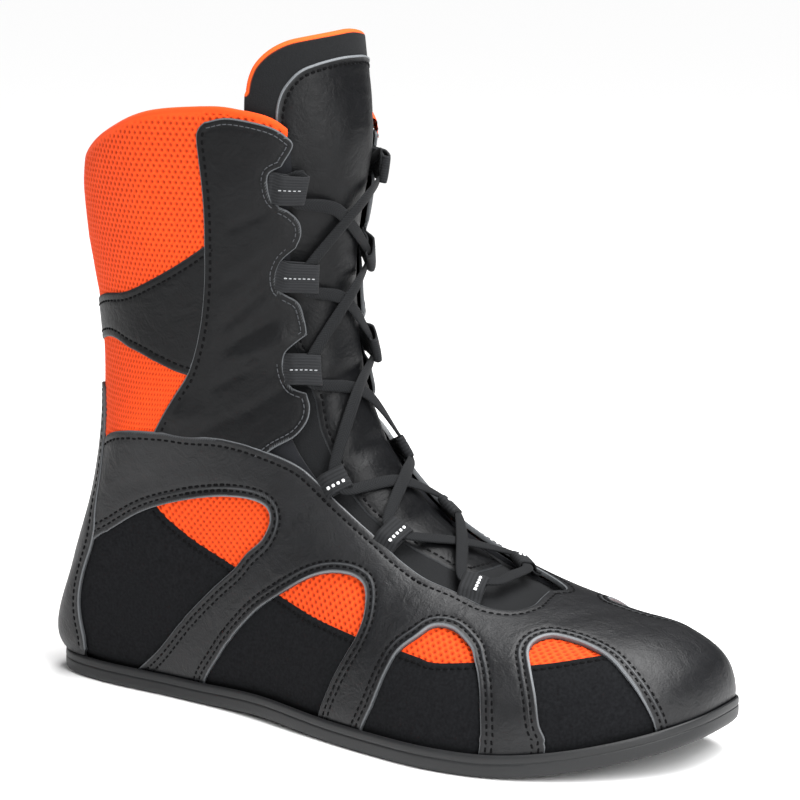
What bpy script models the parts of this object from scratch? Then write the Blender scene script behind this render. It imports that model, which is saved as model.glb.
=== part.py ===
"""Right inner boot of a double mountaineering boot: a padded, laced liner on a thin cup sole.

One function of the last gives every piece its shape. A section of the last is a closed loop
that stands at the toe and lies flat at the collar; u counts the sections from toe to collar,
and a runs along one side of a section, from the sole or the back seam (0) to the ridge (1).
+X points to the toe, +Y to the inner (medial) side and +Z up. The origin is the middle of
the flat spot under the heel. Lengths are in millimetres until a mesh is made.
"""
import math

import bmesh
import bpy
import numpy as np

MM = 0.001

# Driving sizes of the sample, EU 42
LENGTH = 288.0           # upper, heel to toe tip
BALL_WIDTH = 100.0       # upper, across the ball
SHAFT_WIDTH = 89.0       # shaft, side to side at the collar
COLLAR_HEIGHT = 230.0    # floor to the top of the collar
HEEL_REST_X = 42.0       # heel back to the middle of the heel's flat spot
GAP = 0.3                # between pieces that touch

# Wall and soft layers
UPPER_WALL = 3.6         # leather or mesh over foam over lining
TONGUE_THICK = 4.0
TONGUE_GAP = 0.65        # tongue to the inside of the upper
TONGUE_CROWN = 2.0       # how far the padded tongue swells up in the throat
CROWN_CLEAR = 0.02       # share of a side kept flat beside the throat's edge
CROWN_BLEND = 0.10       # share over which the swelling grows
CROWN_FROM = 0.4         # sections from the throat's foot to the swelling
INSOLE_THICK = 3.0
INSOLE_GAP = 0.8         # insole edge to the inside of the upper

# Cup sole
SOLE_THICK = 3.2
LIP_HEIGHT = 8.5         # tread to the top of the wrapped edge
LIP_THICK = 2.4
LIP_GAP = 0.6            # upper to the inside of the lip
SOLE_ROUND = 1.6         # rounding under the edge
LIP_ROUND = 0.6          # rounding of the lip's crest
ARCH_START_X = 78.0
ARCH_END_X = 158.0
ARCH_RISE = 1.2
TOE_SPRING_X = 212.0     # the tread rises from here to the toe
TOE_SPRING = 13.5

# Webbing loops: how far along the shaft or vamp each pair sits, bottom to top
LOOP_ROWS = (5.55, 7.0, 8.3, 10.15, 12.0, 14.35)
LOOP_WIDTH = 10.5
LOOP_THICK = 1.8
LOOP_SEWN = 9.0          # length that lies on the upper
LOOP_FREE = 5.0          # length that reaches over the throat
LACE_THICK = 2.6
LACE_LIFT = 2.2          # middle of the lace above the last
LACE_CLEAR = 1.4         # lace end to the loop's end
LACE_INSET = 0.25        # share of the way between two pairs left free at each end

# Sections of the sample last. Each row: bottom x, bottom z, ridge x, ridge z, half-width on
# the outer side, half-width on the inner side, share of the height where it is widest,
# roundness below and above that line, bottom y, ridge y.
SAMPLE_LENGTH = 288.0
SAMPLE_BALL = 100.0
SAMPLE_SHAFT = 89.0
SAMPLE_COLLAR = 230.0
SECTIONS = (
    (278.5, 6.0, 283.5, 18.0, 9.0, 11.0, 0.45, 3.2, 2.2, 7.0, 9.0),
    (271.5, 3.0, 284.5, 27.0, 21.0, 19.0, 0.42, 3.6, 2.3, 5.5, 9.0),
    (260.0, 1.6, 279.0, 37.5, 33.0, 26.0, 0.38, 4.2, 2.45, 3.0, 8.5),
    (244.0, 0.6, 264.0, 45.0, 43.5, 33.0, 0.33, 4.6, 2.5, 0.0, 7.5),
    (222.0, 0.0, 241.0, 49.0, 51.5, 41.0, 0.31, 4.8, 2.6, -2.5, 6.0),
    (197.0, 0.0, 213.0, 54.0, 54.0, 46.0, 0.30, 4.8, 2.55, -3.5, 6.0),
    (169.0, 0.0, 186.5, 63.5, 51.0, 44.5, 0.30, 4.6, 2.45, -3.0, 6.5),
    (138.0, 0.6, 164.0, 77.5, 45.5, 39.0, 0.29, 4.4, 2.4, -2.0, 6.0),
    (104.0, 1.0, 147.0, 96.0, 39.5, 36.5, 0.28, 4.2, 2.4, 0.0, 5.0),
    (66.0, 1.0, 136.0, 118.0, 36.0, 36.0, 0.27, 4.0, 2.4, 0.0, 4.0),
    (29.0, 1.5, 131.0, 139.0, 35.0, 36.5, 0.27, 3.8, 2.5, 0.0, 3.0),
    (4.5, 9.5, 130.0, 159.0, 35.5, 37.0, 0.28, 3.2, 2.5, 0.0, 2.0),
    (9.5, 36.0, 131.0, 177.0, 36.5, 37.5, 0.31, 2.6, 2.4, 0.0, 1.0),
    (17.5, 66.0, 134.0, 193.0, 37.5, 38.0, 0.36, 2.2, 2.3, 0.0, 0.0),
    (22.0, 98.0, 136.5, 206.0, 38.5, 39.0, 0.42, 2.1, 2.2, 0.0, 0.0),
    (22.0, 130.0, 138.5, 217.0, 40.0, 40.0, 0.47, 2.1, 2.1, 0.0, 0.0),
    (18.5, 162.0, 139.5, 227.0, 41.5, 41.5, 0.50, 2.1, 2.1, 0.0, 0.0),
    (15.5, 194.0, 140.0, 237.0, 43.0, 43.0, 0.50, 2.1, 2.1, 0.0, 0.0),
    (15.5, 226.0, 139.0, 247.0, 44.5, 44.5, 0.50, 2.1, 2.1, 0.0, 0.0),
    (16.0, 258.0, 137.0, 262.0, 44.5, 44.5, 0.50, 2.1, 2.1, 0.0, 0.0),
)
FOOT_ROWS = 9            # rows graded by the ball; the shaft's rows start FOOT_BLEND later
FOOT_BLEND = 4

# Edges of the upper, as (u, a) or (a, u)
THROAT_START = 4.87      # foot of the throat
THROAT_CORNER = 0.62     # length of its rounded corner, in sections
THROAT_POWER = 2.6       # squareness of that corner
THROAT_OUTER = ((5.5, 0.795), (7.0, 0.795), (9.2, 0.79), (10.5, 0.83), (12.0, 0.85),
                (13.0, 0.85), (14.5, 0.82), (16.0, 0.815), (18.0, 0.80))
THROAT_INNER = ((5.5, 0.86), (7.0, 0.865), (9.2, 0.86), (10.5, 0.865), (12.0, 0.865),
                (13.0, 0.86), (14.5, 0.845), (16.0, 0.835), (18.0, 0.82))
COLLAR_OUTER = ((0.0, 17.25), (0.15, 17.38), (0.30, 17.58), (0.45, 17.70), (0.60, 17.52),
                (0.68, 17.25), (0.76, 16.75), (0.83, 15.80))
COLLAR_INNER = ((0.0, 17.25), (0.15, 17.33), (0.30, 17.45), (0.45, 17.50), (0.60, 17.35),
                (0.68, 17.10), (0.76, 16.60), (0.83, 15.80))
COLLAR_FROM = 12.0       # the rows above this section fan out to the collar line
COLLAR_TO = 18.0

# Edges of the tongue
TONGUE_START = 4.3
TONGUE_EDGE = ((4.3, 0.86), (5.5, 0.76), (7.0, 0.735), (10.0, 0.72), (14.0, 0.70),
               (19.0, 0.70))
TONGUE_TOP = ((0.70, 17.85), (0.73, 18.2), (0.78, 18.47), (0.87, 18.7), (0.96, 18.76),
              (1.0, 18.76))
TONGUE_BODY = 16.0       # the rows above this section fan out to the tongue's top edge

RING_STEPS = 120         # points that measure one side of a section
SOLE_POINTS = 96         # points round the sole, and faces across it
SOLE_CROSS = 4
INSOLE_POINTS = 64
INSOLE_CROSS = 2
OUTER, INNER = -1, 1     # side of the boot, the sign of Y


# ---------------------------------------------------------------- the last
def graded_sections():
    """The sample's sections at this boot's length, widths and height."""
    rows = np.array(SECTIONS)
    rows[:, [0, 2]] *= LENGTH / SAMPLE_LENGTH
    rows[:, [1, 3]] *= COLLAR_HEIGHT / SAMPLE_COLLAR
    share = np.clip((np.arange(len(rows)) - FOOT_ROWS) / FOOT_BLEND, 0.0, 1.0)
    width = (1 - share) * BALL_WIDTH / SAMPLE_BALL + share * SHAFT_WIDTH / SAMPLE_SHAFT
    rows[:, [4, 5, 9, 10]] *= width[:, None]
    return rows


LAST = graded_sections()
MEASURED = {}            # sections measured so far


def smooth_row(rows, u):
    """The row at u on a smooth curve through all rows."""
    top = len(rows) - 1
    u = min(max(u, 0.0), float(top))
    i = min(int(u), top - 1)
    t = u - i
    here, after = rows[i], rows[i + 1]
    before = rows[i - 1] if i > 0 else 2 * here - after
    beyond = rows[i + 2] if i + 2 <= top else 2 * after - here
    slope_in, slope_out = (after - before) / 2, (beyond - here) / 2
    return ((2 * t**3 - 3 * t**2 + 1) * here + (t**3 - 2 * t**2 + t) * slope_in
            + (3 * t**2 - 2 * t**3) * after + (t**3 - t**2) * slope_out)


def section_side(u, side):
    """Points along one side of section u from its bottom to its ridge, and their run."""
    key = (round(u, 6), side)
    if key in MEASURED:
        return MEASURED[key]
    (bottom_x, bottom_z, ridge_x, ridge_z, outer, inner,
     widest, round_low, round_high, bottom_y, ridge_y) = smooth_row(LAST, u)
    turn = np.linspace(0.0, math.pi, RING_STEPS + 1)
    sine, cosine = np.sin(turn), np.abs(np.cos(turn))
    low = turn <= math.pi / 2
    power = 2 / np.where(low, round_low, round_high)
    reach = np.abs(sine) ** power
    depth = cosine ** power
    height = np.where(low, widest - widest * depth, widest + (1 - widest) * depth)
    half = outer if side == OUTER else inner
    middle = bottom_y + (ridge_y - bottom_y) * height
    points = np.stack([bottom_x + (ridge_x - bottom_x) * height, middle + side * half * reach,
                       bottom_z + (ridge_z - bottom_z) * height], axis=1)
    steps = np.linalg.norm(np.diff(points, axis=0), axis=1)
    run = np.concatenate([[0.0], np.cumsum(steps)])
    MEASURED[key] = (points, run)
    return MEASURED[key]


def last_point(u, a, side):
    """The point of the last at section u, share a of the way up its side."""
    points, run = section_side(u, side)
    return np.array([np.interp(a * run[-1], run, points[:, k]) for k in range(3)])


def last_normal(u, a, side):
    """The outward direction there."""
    du, da = 0.04, 0.012
    along = last_point(u + du, a, side) - last_point(u - du, a, side)
    if a + da <= 1.0:
        up = last_point(u, a + da, side) - last_point(u, max(a - da, 0.0), side)
    else:
        up = last_point(u, 2 - a - da, -side) - last_point(u, a - da, side)
    normal = np.cross(along, up) * side
    return normal / np.linalg.norm(normal)


def surface(u, a, side, lift=0.0):
    """A point over the last, lift millimetres out from it."""
    return last_point(u, a, side) + lift * last_normal(u, a, side)


def across(u, s, lift=0.0):
    """A point on or over the last where s runs from outer (-) over the ridge (0) to inner."""
    side = OUTER if s < 0 else INNER
    return surface(u, 1.0 - abs(s), side, lift)


def read(pairs, x):
    """Linear reading of a list of pairs."""
    keys, values = zip(*pairs)
    return float(np.interp(x, keys, values))


# ---------------------------------------------------------------- levels of the sole
def tread_z(x):
    """Height of the tread: level heel and ball, low arch between, toe spring."""
    scale = LENGTH / SAMPLE_LENGTH
    arch_from, arch_to = ARCH_START_X * scale, ARCH_END_X * scale
    height = 0.0
    if arch_from < x < arch_to:
        height += ARCH_RISE * math.sin(math.pi * (x - arch_from) / (arch_to - arch_from)) ** 2
    spring_from = TOE_SPRING_X * scale
    height += TOE_SPRING * max(0.0, (x - spring_from) / (LENGTH - spring_from)) ** 2
    return height


def rise_to(u, side, level):
    """The lowest a where section u stands level millimetres over the tread."""
    points, run = section_side(u, side)
    over = points[:, 2] - np.array([tread_z(x) for x in points[:, 0]]) - level
    if over[0] >= 0:
        return 0.0
    if over[-1] < 0:
        return None
    i = int(np.argmax(over >= 0))
    share = -over[i - 1] / (over[i] - over[i - 1])
    return float((run[i - 1] + share * (run[i] - run[i - 1])) / run[-1])


def level_span(level):
    """The sections between which the last dips under that level."""
    us = np.linspace(0.0, 12.0, 481)
    first = next(u for u in us if rise_to(u, OUTER, level) is not None)
    last = next(u for u in us if u > 8 and rise_to(u, OUTER, level) == 0.0)
    return first, last


def level_line(level, count):
    """Closed plan outline of the last at that level: heel, outer side, toe, inner side."""
    toe, heel = level_span(level)
    share = 0.5 - 0.5 * np.cos(np.linspace(0.0, math.pi, 161))
    us = heel + (toe - heel) * share
    halves = []
    for side in (OUTER, INNER):
        line = []
        for u in us:
            a = rise_to(u, side, level)
            line.append(last_point(u, 1.0 if a is None else a, side)[:2])
        halves.append(np.array(line))
    heel_end = [(halves[0][0][0] + halves[1][0][0]) / 2, 0.0]
    toe_end = (halves[0][-1] + halves[1][-1]) / 2
    for half in halves:
        half[0], half[-1] = heel_end, toe_end
    evened = [even_spacing(half, count // 2) for half in halves]
    return np.concatenate([evened[0], evened[1][::-1][1:-1]])


def even_spacing(line, parts):
    """The same line at parts + 1 evenly spaced points."""
    run = np.concatenate([[0.0], np.cumsum(np.linalg.norm(np.diff(line, axis=0), axis=1))])
    at = np.linspace(0.0, run[-1], parts + 1)
    return np.stack([np.interp(at, run, line[:, k]) for k in range(2)], axis=1)


def grow(outline, distance):
    """The closed outline moved outward by distance."""
    ahead, behind = np.roll(outline, -1, axis=0), np.roll(outline, 1, axis=0)
    tangent = ahead - behind
    normal = np.stack([-tangent[:, 1], tangent[:, 0]], axis=1)
    normal /= np.linalg.norm(normal, axis=1)[:, None]
    middle = outline.mean(axis=0)
    if np.mean(np.sum((outline - middle) * normal, axis=1)) < 0:
        normal = -normal
    return outline + distance * normal


# ---------------------------------------------------------------- making meshes
def to_mesh(name, points, faces):
    """A mesh in metres with its origin at the heel's flat spot."""
    mesh = bpy.data.meshes.new(name)
    shift = np.array([HEEL_REST_X * LENGTH / SAMPLE_LENGTH, 0.0, 0.0])
    places = (np.array(points) - shift) * MM
    mesh.from_pydata([tuple(p) for p in places], [], faces)
    work = bmesh.new()
    work.from_mesh(mesh)
    bmesh.ops.remove_doubles(work, verts=work.verts, dist=0.00002)
    bmesh.ops.recalc_face_normals(work, faces=work.faces)
    work.to_mesh(mesh)
    work.free()
    return mesh


def add_part(name, mesh, material):
    """An object of the boot with its own material."""
    part = bpy.data.objects.new(name, mesh)
    part.data.materials.clear()
    part.data.materials.append(material)
    boot.objects.link(part)
    mesh.shade_smooth()
    mesh.set_sharp_from_angle(angle=math.radians(40))
    return part


def make_material(name, colour, roughness):
    """A plain, non-metallic finish."""
    material = bpy.data.materials.new(name)
    material.use_nodes = True
    shader = material.node_tree.nodes["Principled BSDF"]
    shader.inputs["Base Color"].default_value = (*colour, 1.0)
    shader.inputs["Roughness"].default_value = roughness
    shader.inputs["Metallic"].default_value = 0.0
    return material


def sheet_faces(rows, columns, start=0):
    """Quads of a grid whose points are numbered row by row."""
    faces = []
    for i in range(rows - 1):
        for j in range(columns - 1):
            a = start + i * columns + j
            faces.append((a, a + 1, a + columns + 1, a + columns))
    return faces


def thicken(part, thickness, offset):
    """Gives an open sheet its wall. Offset -1 grows it inward and +1 outward."""
    wall = part.modifiers.new("wall", "SOLIDIFY")
    wall.thickness = thickness * MM
    wall.offset = offset
    wall.use_even_offset = False
    wall.use_quality_normals = True


# ---------------------------------------------------------------- sole and insole
def plate(name, material, rings, cross_parts, low_z, high_z):
    """A closed plate from rings of (outline, height over the tread), bottom ring first.

    The first and last rings are closed by rows of quads from side to side, which follow
    the tread's curve."""
    points, faces = [], []
    count = len(rings[0][0])
    for outline, height in rings:
        points.extend((x, y, tread_z(x) + height) for x, y in outline)
    for k in range(len(rings) - 1):
        for i in range(count):
            j = (i + 1) % count
            faces.append((k * count + i, k * count + j, (k + 1) * count + j,
                          (k + 1) * count + i))
    half = count // 2
    for ring, height in ((0, low_z), (len(rings) - 1, high_z)):
        base = ring * count
        outline = rings[ring][0]
        rows = [[base] * (cross_parts + 1)]
        for i in range(1, half):
            start, end = outline[i], outline[count - i]
            row = [base + i]
            for k in range(1, cross_parts):
                x, y = start + (end - start) * k / cross_parts
                points.append((x, y, tread_z(x) + height))
                row.append(len(points) - 1)
            rows.append(row + [base + count - i])
        rows.append([base + half] * (cross_parts + 1))
        for row, following in zip(rows, rows[1:]):
            for k in range(cross_parts):
                corners = [row[k], row[k + 1], following[k + 1], following[k]]
                faces.append(tuple(dict.fromkeys(corners)))
    return add_part(name, to_mesh(name, points, faces), material)


def make_outsole(material):
    """Thin rubber cup: a plate with a lip that wraps the foot of the upper."""
    wrap = level_line(LIP_HEIGHT, SOLE_POINTS)
    outer = LIP_GAP + LIP_THICK
    rings = (
        (grow(wrap, outer - 1.4 * SOLE_ROUND), 0.0),
        (grow(wrap, outer - 0.3 * SOLE_ROUND), 0.35 * SOLE_ROUND),
        (grow(wrap, outer), 1.2 * SOLE_ROUND),
        (grow(wrap, outer), LIP_HEIGHT - LIP_ROUND),
        (grow(wrap, outer - LIP_ROUND), LIP_HEIGHT),
        (grow(wrap, LIP_GAP), LIP_HEIGHT),
        (grow(wrap, LIP_GAP), SOLE_THICK),
    )
    return plate("outsole", material, rings, SOLE_CROSS, 0.0, SOLE_THICK)


def make_insole(material):
    """Flat foam footbed inside the foot of the upper."""
    low = SOLE_THICK + GAP
    outline = grow(level_line(low, INSOLE_POINTS), -(UPPER_WALL + INSOLE_GAP))
    rings = ((outline, low), (outline, low + INSOLE_THICK))
    return plate("insole", material, rings, INSOLE_CROSS, low, low + INSOLE_THICK)


# ---------------------------------------------------------------- upper and tongue
def throat_edge(u, side):
    """Where the upper stops at the throat: on the ridge up to its foot, then beside it."""
    if u <= THROAT_START:
        return 1.0
    edge = read(THROAT_OUTER if side == OUTER else THROAT_INNER, u)
    t = min((u - THROAT_START) / THROAT_CORNER, 1.0)
    corner = (1.0 - (1.0 - t) ** THROAT_POWER) ** (1 / THROAT_POWER)
    return 1.0 - (1.0 - edge) * corner


def fan(u, a, side, edge_from, edge_to, collar):
    """Section of a grid row whose top row lies on the collar line."""
    if u <= edge_from:
        return u
    return edge_from + (u - edge_from) * (read(collar, a) - edge_from) / (edge_to - edge_from)


def make_upper(material):
    """Hollow padded upper, open at the collar, the throat and underneath."""
    floor = SOLE_THICK + GAP
    rows = np.concatenate([
        np.linspace(0.0, 1.0, 5)[:-1], np.linspace(1.0, THROAT_START, 10)[:-1],
        THROAT_START + THROAT_CORNER * np.array([0.0, 0.06, 0.2, 0.45, 0.7, 1.0]),
        np.linspace(THROAT_START + THROAT_CORNER, COLLAR_FROM, 16)[1:-1],
        np.linspace(COLLAR_FROM, COLLAR_TO, 12)])
    columns = 15
    points, faces = [], []
    for side, collar in ((OUTER, COLLAR_OUTER), (INNER, COLLAR_INNER)):
        start = len(points)
        for u in rows:
            low = rise_to(u, side, floor) if u < COLLAR_FROM else 0.0
            high = throat_edge(u, side)
            for k in range(columns):
                a = low + (high - low) * k / (columns - 1)
                v = fan(u, a, side, COLLAR_FROM, COLLAR_TO, collar)
                points.append(last_point(v, a, side))
        quads = sheet_faces(len(rows), columns, start)
        faces.extend(quads if side == OUTER else [q[::-1] for q in quads])
    upper = add_part("upper", to_mesh("upper", points, faces), material)
    thicken(upper, UPPER_WALL, -1.0)
    return upper


def tongue_top(u, s):
    """Section of a tongue row whose top row follows the rounded top edge."""
    return fan(u, 1.0 - abs(s), OUTER, TONGUE_BODY, COLLAR_TO, TONGUE_TOP)


def make_tongue(material):
    """Padded tongue under the throat's edges, crowned between them, rising over the collar."""
    rows = np.concatenate([np.linspace(TONGUE_START, 8.0, 9)[:-1],
                           np.linspace(8.0, TONGUE_BODY, 13)[:-1],
                           np.linspace(TONGUE_BODY, COLLAR_TO, 6)])
    columns = 15
    points = []
    for u in rows:
        half = 1.0 - read(TONGUE_EDGE, u)
        for k in range(columns):
            s = half * (2 * k / (columns - 1) - 1)
            v = tongue_top(u, s)
            side = OUTER if s < 0 else INNER
            opening = 1.0 - throat_edge(min(v, COLLAR_TO), side)
            inside = min(max((opening - CROWN_CLEAR - abs(s)) / CROWN_BLEND, 0.0), 1.0)
            inside *= min(max(v - THROAT_START - CROWN_FROM, 0.0), 1.0)
            crown = TONGUE_CROWN * inside * inside * (3 - 2 * inside)
            points.append(across(v, s, crown - UPPER_WALL - TONGUE_GAP))
    mesh = to_mesh("tongue", points, sheet_faces(len(rows), columns))
    tongue = add_part("tongue", mesh, material)
    if mesh.polygons[len(mesh.polygons) // 2].normal.x < 0:
        mesh.flip_normals()
    thicken(tongue, TONGUE_THICK, -1.0)
    return tongue


# ---------------------------------------------------------------- loops and lace
def side_length(u, side):
    """Length of one side of a section."""
    return section_side(u, side)[1][-1]


def row_pitch(u, a, side):
    """Millimetres along the last for one section there."""
    return float(np.linalg.norm(last_point(u + 0.5, a, side) - last_point(u - 0.5, a, side)))


def loop_end(u, side):
    """Where the loop's free end lies."""
    return throat_edge(u, side) + LOOP_FREE / side_length(u, side)


def make_loop(name, u, side, material):
    """Folded webbing tab, sewn on the upper and reaching over the throat."""
    edge = throat_edge(u, side)
    start = edge - LOOP_SEWN / side_length(u, side)
    half = LOOP_WIDTH / 2 / row_pitch(u, edge, side)
    points = []
    for a in np.linspace(start, loop_end(u, side), 5):
        for v in np.linspace(u - half, u + half, 3):
            points.append(surface(v, a, side, GAP + 0.1))
    mesh = to_mesh(name, points, sheet_faces(5, 3))
    loop = add_part(name, mesh, material)
    out = last_normal(u, edge, side)
    if np.dot(np.array(mesh.polygons[4].normal), out) < 0:
        mesh.flip_normals()
    thicken(loop, LOOP_THICK, 1.0)
    return loop


def make_tube(name, points):
    """A round cord along the points, as a closed mesh object."""
    curve = bpy.data.curves.new(name, "CURVE")
    curve.dimensions = "3D"
    curve.bevel_depth = LACE_THICK / 2 * MM
    curve.bevel_resolution = 1
    curve.use_fill_caps = True
    spline = curve.splines.new("POLY")
    spline.points.add(len(points) - 1)
    shift = np.array([HEEL_REST_X * LENGTH / SAMPLE_LENGTH, 0.0, 0.0])
    for point, place in zip(spline.points, points):
        point.co = (*((place - shift) * MM), 1.0)
    guide = bpy.data.objects.new(name + "_guide", curve)
    boot.objects.link(guide)
    depsgraph = bpy.context.evaluated_depsgraph_get()
    mesh = bpy.data.meshes.new_from_object(guide.evaluated_get(depsgraph))
    bpy.data.objects.remove(guide)
    work = bmesh.new()
    work.from_mesh(mesh)
    bmesh.ops.remove_doubles(work, verts=work.verts, dist=0.00002)
    bmesh.ops.recalc_face_normals(work, faces=work.faces)
    work.to_mesh(mesh)
    work.free()
    mesh.name = name
    return mesh


def lace_run(start_u, start_side, end_u, end_side, parts=8):
    """Points of one run of lace from beside a loop to beside the loop across the tongue."""
    ends = []
    for u, side in ((start_u, start_side), (end_u, end_side)):
        a = loop_end(u, side) + (LACE_CLEAR + LACE_THICK / 2) / side_length(u, side)
        ends.append(side * (1.0 - a))
    run = []
    for k in range(parts + 1):
        t = k / parts
        run.append(across(start_u + (end_u - start_u) * t, ends[0] + (ends[1] - ends[0]) * t,
                          LACE_LIFT))
    return run


def make_lace(material):
    """The bar between the lowest loops, and a joined crossing over each gap above it."""
    low = LOOP_ROWS[0]
    add_part("lace_bar", make_tube("lace_bar", lace_run(low, OUTER, low, INNER)), material)
    for k, (under, over) in enumerate(zip(LOOP_ROWS, LOOP_ROWS[1:]), start=1):
        name = "lace_cross_%d" % k
        lift = LACE_INSET * (over - under)
        first = make_tube(name, lace_run(under + lift, OUTER, over - lift, INNER))
        second = make_tube(name + "_b", lace_run(under + lift, INNER, over - lift, OUTER))
        crossing = add_part(name, first, material)
        partner = bpy.data.objects.new(name + "_partner", second)
        partner.hide_render = True
        partner.display_type = "WIRE"
        cutters.objects.link(partner)
        join = crossing.modifiers.new("join", "BOOLEAN")
        join.operation = "UNION"
        join.solver = "EXACT"
        join.object = partner


# ---------------------------------------------------------------- the boot
for old in list(bpy.data.objects):
    bpy.data.objects.remove(old)

boot = bpy.data.collections.new("inner_boot")
cutters = bpy.data.collections.new("cutters")
bpy.context.scene.collection.children.link(boot)
bpy.context.scene.collection.children.link(cutters)

make_outsole(make_material("sole_rubber", (0.034, 0.036, 0.038), 0.55))
make_insole(make_material("insole_foam", (0.06, 0.06, 0.065), 0.9))
make_upper(make_material("upper_leather", (0.030, 0.031, 0.034), 0.5))
make_tongue(make_material("tongue_leather", (0.026, 0.027, 0.030), 0.5))
webbing = (0.062, 0.064, 0.070)
for pair, row in enumerate(LOOP_ROWS, start=1):
    for side, word in ((OUTER, "outer"), (INNER, "inner")):
        label = "loop_%s_%d" % (word, pair)
        make_loop(label, row, side, make_material(label + "_webbing", webbing, 0.8))
make_lace(make_material("lace_cord", (0.045, 0.046, 0.050), 0.75))
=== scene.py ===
"""Looks of a right mountaineering inner boot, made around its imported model.

Metres, +X to the toe, +Y to the inner side, +Z up; the heel rests on the origin.
"""
import math

import bmesh
import bpy
import numpy as np
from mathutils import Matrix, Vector
from mathutils.geometry import delaunay_2d_cdt


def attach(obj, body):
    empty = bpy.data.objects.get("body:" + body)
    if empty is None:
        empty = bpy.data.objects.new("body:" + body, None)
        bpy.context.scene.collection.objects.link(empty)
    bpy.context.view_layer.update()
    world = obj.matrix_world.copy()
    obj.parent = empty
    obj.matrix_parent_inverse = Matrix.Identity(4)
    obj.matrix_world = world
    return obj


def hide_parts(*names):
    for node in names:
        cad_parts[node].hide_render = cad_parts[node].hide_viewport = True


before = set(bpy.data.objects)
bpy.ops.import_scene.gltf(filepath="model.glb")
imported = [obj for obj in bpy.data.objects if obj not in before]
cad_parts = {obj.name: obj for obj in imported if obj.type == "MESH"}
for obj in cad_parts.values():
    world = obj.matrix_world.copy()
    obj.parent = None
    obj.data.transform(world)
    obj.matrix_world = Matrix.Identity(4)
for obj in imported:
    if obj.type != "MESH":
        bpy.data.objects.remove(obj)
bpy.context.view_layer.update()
MM = 0.001


# ================================================================ camera
# A long lens at table height, on the outer side and turned towards the toe.
LOOK_AT = Vector((0.1113, 0.0, 0.1207))
TURN, HEIGHT_ANGLE, DISTANCE = math.radians(32.0), math.radians(10.5), 1.0
LENS = 120.0
back = Vector((math.sin(TURN) * math.cos(HEIGHT_ANGLE),
               -math.cos(TURN) * math.cos(HEIGHT_ANGLE), math.sin(HEIGHT_ANGLE)))
camera = bpy.data.objects.new("camera", bpy.data.cameras.new("camera"))
camera.data.lens = LENS
camera.data.sensor_width = 36.0
camera.data.clip_start, camera.data.clip_end = 0.05, 60.0
camera.location = LOOK_AT + back * DISTANCE
camera.rotation_euler = back.to_track_quat("Z", "Y").to_euler()
bpy.context.scene.collection.objects.link(camera)
bpy.context.scene.camera = camera
bpy.context.scene.view_settings.view_transform = "Standard"


# ================================================================ floor and light
# Plain white sweep and soft boxes: a large one above, one at the toe side, a low fill.
def linear(colour):
    """A '#RRGGBB' sRGB colour as linear RGBA."""
    channels = [int(colour[k:k + 2], 16) / 255 for k in (1, 3, 5)]
    return (*[c / 12.92 if c <= 0.04045 else ((c + 0.055) / 1.055) ** 2.4
              for c in channels], 1.0)


def add_node(tree, kind, values=None, links=None, **settings):
    """Adds a node, sets its properties and input values, and links its inputs."""
    node = tree.nodes.new(kind)
    for name, value in settings.items():
        setattr(node, name, value)
    for name, value in (values or {}).items():
        node.inputs[name].default_value = value
    for name, socket in (links or {}).items():
        tree.links.new(socket, node.inputs[name])
    return node


def new_material(name, base="#808080", roughness=0.5, **shader_values):
    """A Principled material; returns it with its tree and shader."""
    material = bpy.data.materials.new(name)
    material.use_nodes = True
    tree = material.node_tree
    shader = tree.nodes["Principled BSDF"]
    shader.inputs["Base Color"].default_value = linear(base)
    shader.inputs["Roughness"].default_value = roughness
    for socket, value in shader_values.items():
        shader.inputs[socket.replace("_", " ")].default_value = value
    return material, tree, shader


def soft_box(name, at, aim, width, height, watts):
    """A rectangular area light aimed at a point."""
    light = bpy.data.lights.new(name, "AREA")
    light.shape = "RECTANGLE"
    light.size, light.size_y, light.energy = width, height, watts
    holder = bpy.data.objects.new(name, light)
    holder.location = at
    holder.rotation_euler = (Vector(at) - Vector(aim)).to_track_quat("Z", "Y").to_euler()
    bpy.context.scene.collection.objects.link(holder)


FLOOR_SIZE = 40.0
floor_mesh = bpy.data.meshes.new("floor")
half = FLOOR_SIZE / 2
floor_mesh.from_pydata([(-half, -half, 0), (half, -half, 0), (half, half, 0), (-half, half, 0)],
                       [], [(0, 1, 2, 3)])
floor = bpy.data.objects.new("floor", floor_mesh)
floor_paint, _, _ = new_material("floor_white_card", "#FDFDFD", 0.9)
floor_mesh.materials.append(floor_paint)
bpy.context.scene.collection.objects.link(floor)

# The sky lights softly and looks white; the sun is a very wide one, as a large soft box.
world = bpy.data.worlds.new("studio")
bpy.context.scene.world = world
world.use_nodes = True
sky = world.node_tree.nodes["Background"]
sky.inputs["Color"].default_value = (1.0, 1.0, 1.0, 1.0)
seen = add_node(world.node_tree, "ShaderNodeLightPath")
glow = add_node(world.node_tree, "ShaderNodeMapRange", {"To Min": 0.07, "To Max": 1.0},
                {"Value": seen.outputs["Is Camera Ray"]})
world.node_tree.links.new(glow.outputs["Result"], sky.inputs["Strength"])
sun = bpy.data.objects.new("light_sky", bpy.data.lights.new("light_sky", "SUN"))
sun.data.energy, sun.data.angle = 3.4, math.radians(45.0)
sun.rotation_euler = Vector((0.45, -0.10, 1.0)).to_track_quat("Z", "Y").to_euler()
bpy.context.scene.collection.objects.link(sun)
AIM = (0.1, 0.0, 0.1)
soft_box("light_above", (0.25, 0.25, 1.1), AIM, 0.8, 0.7, 14.0)
soft_box("light_toe_side", (1.15, -0.60, 0.60), AIM, 0.4, 0.8, 15.0)
soft_box("light_outer_side", (-0.10, -1.05, 0.75), AIM, 0.6, 0.4, 3.0)


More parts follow.
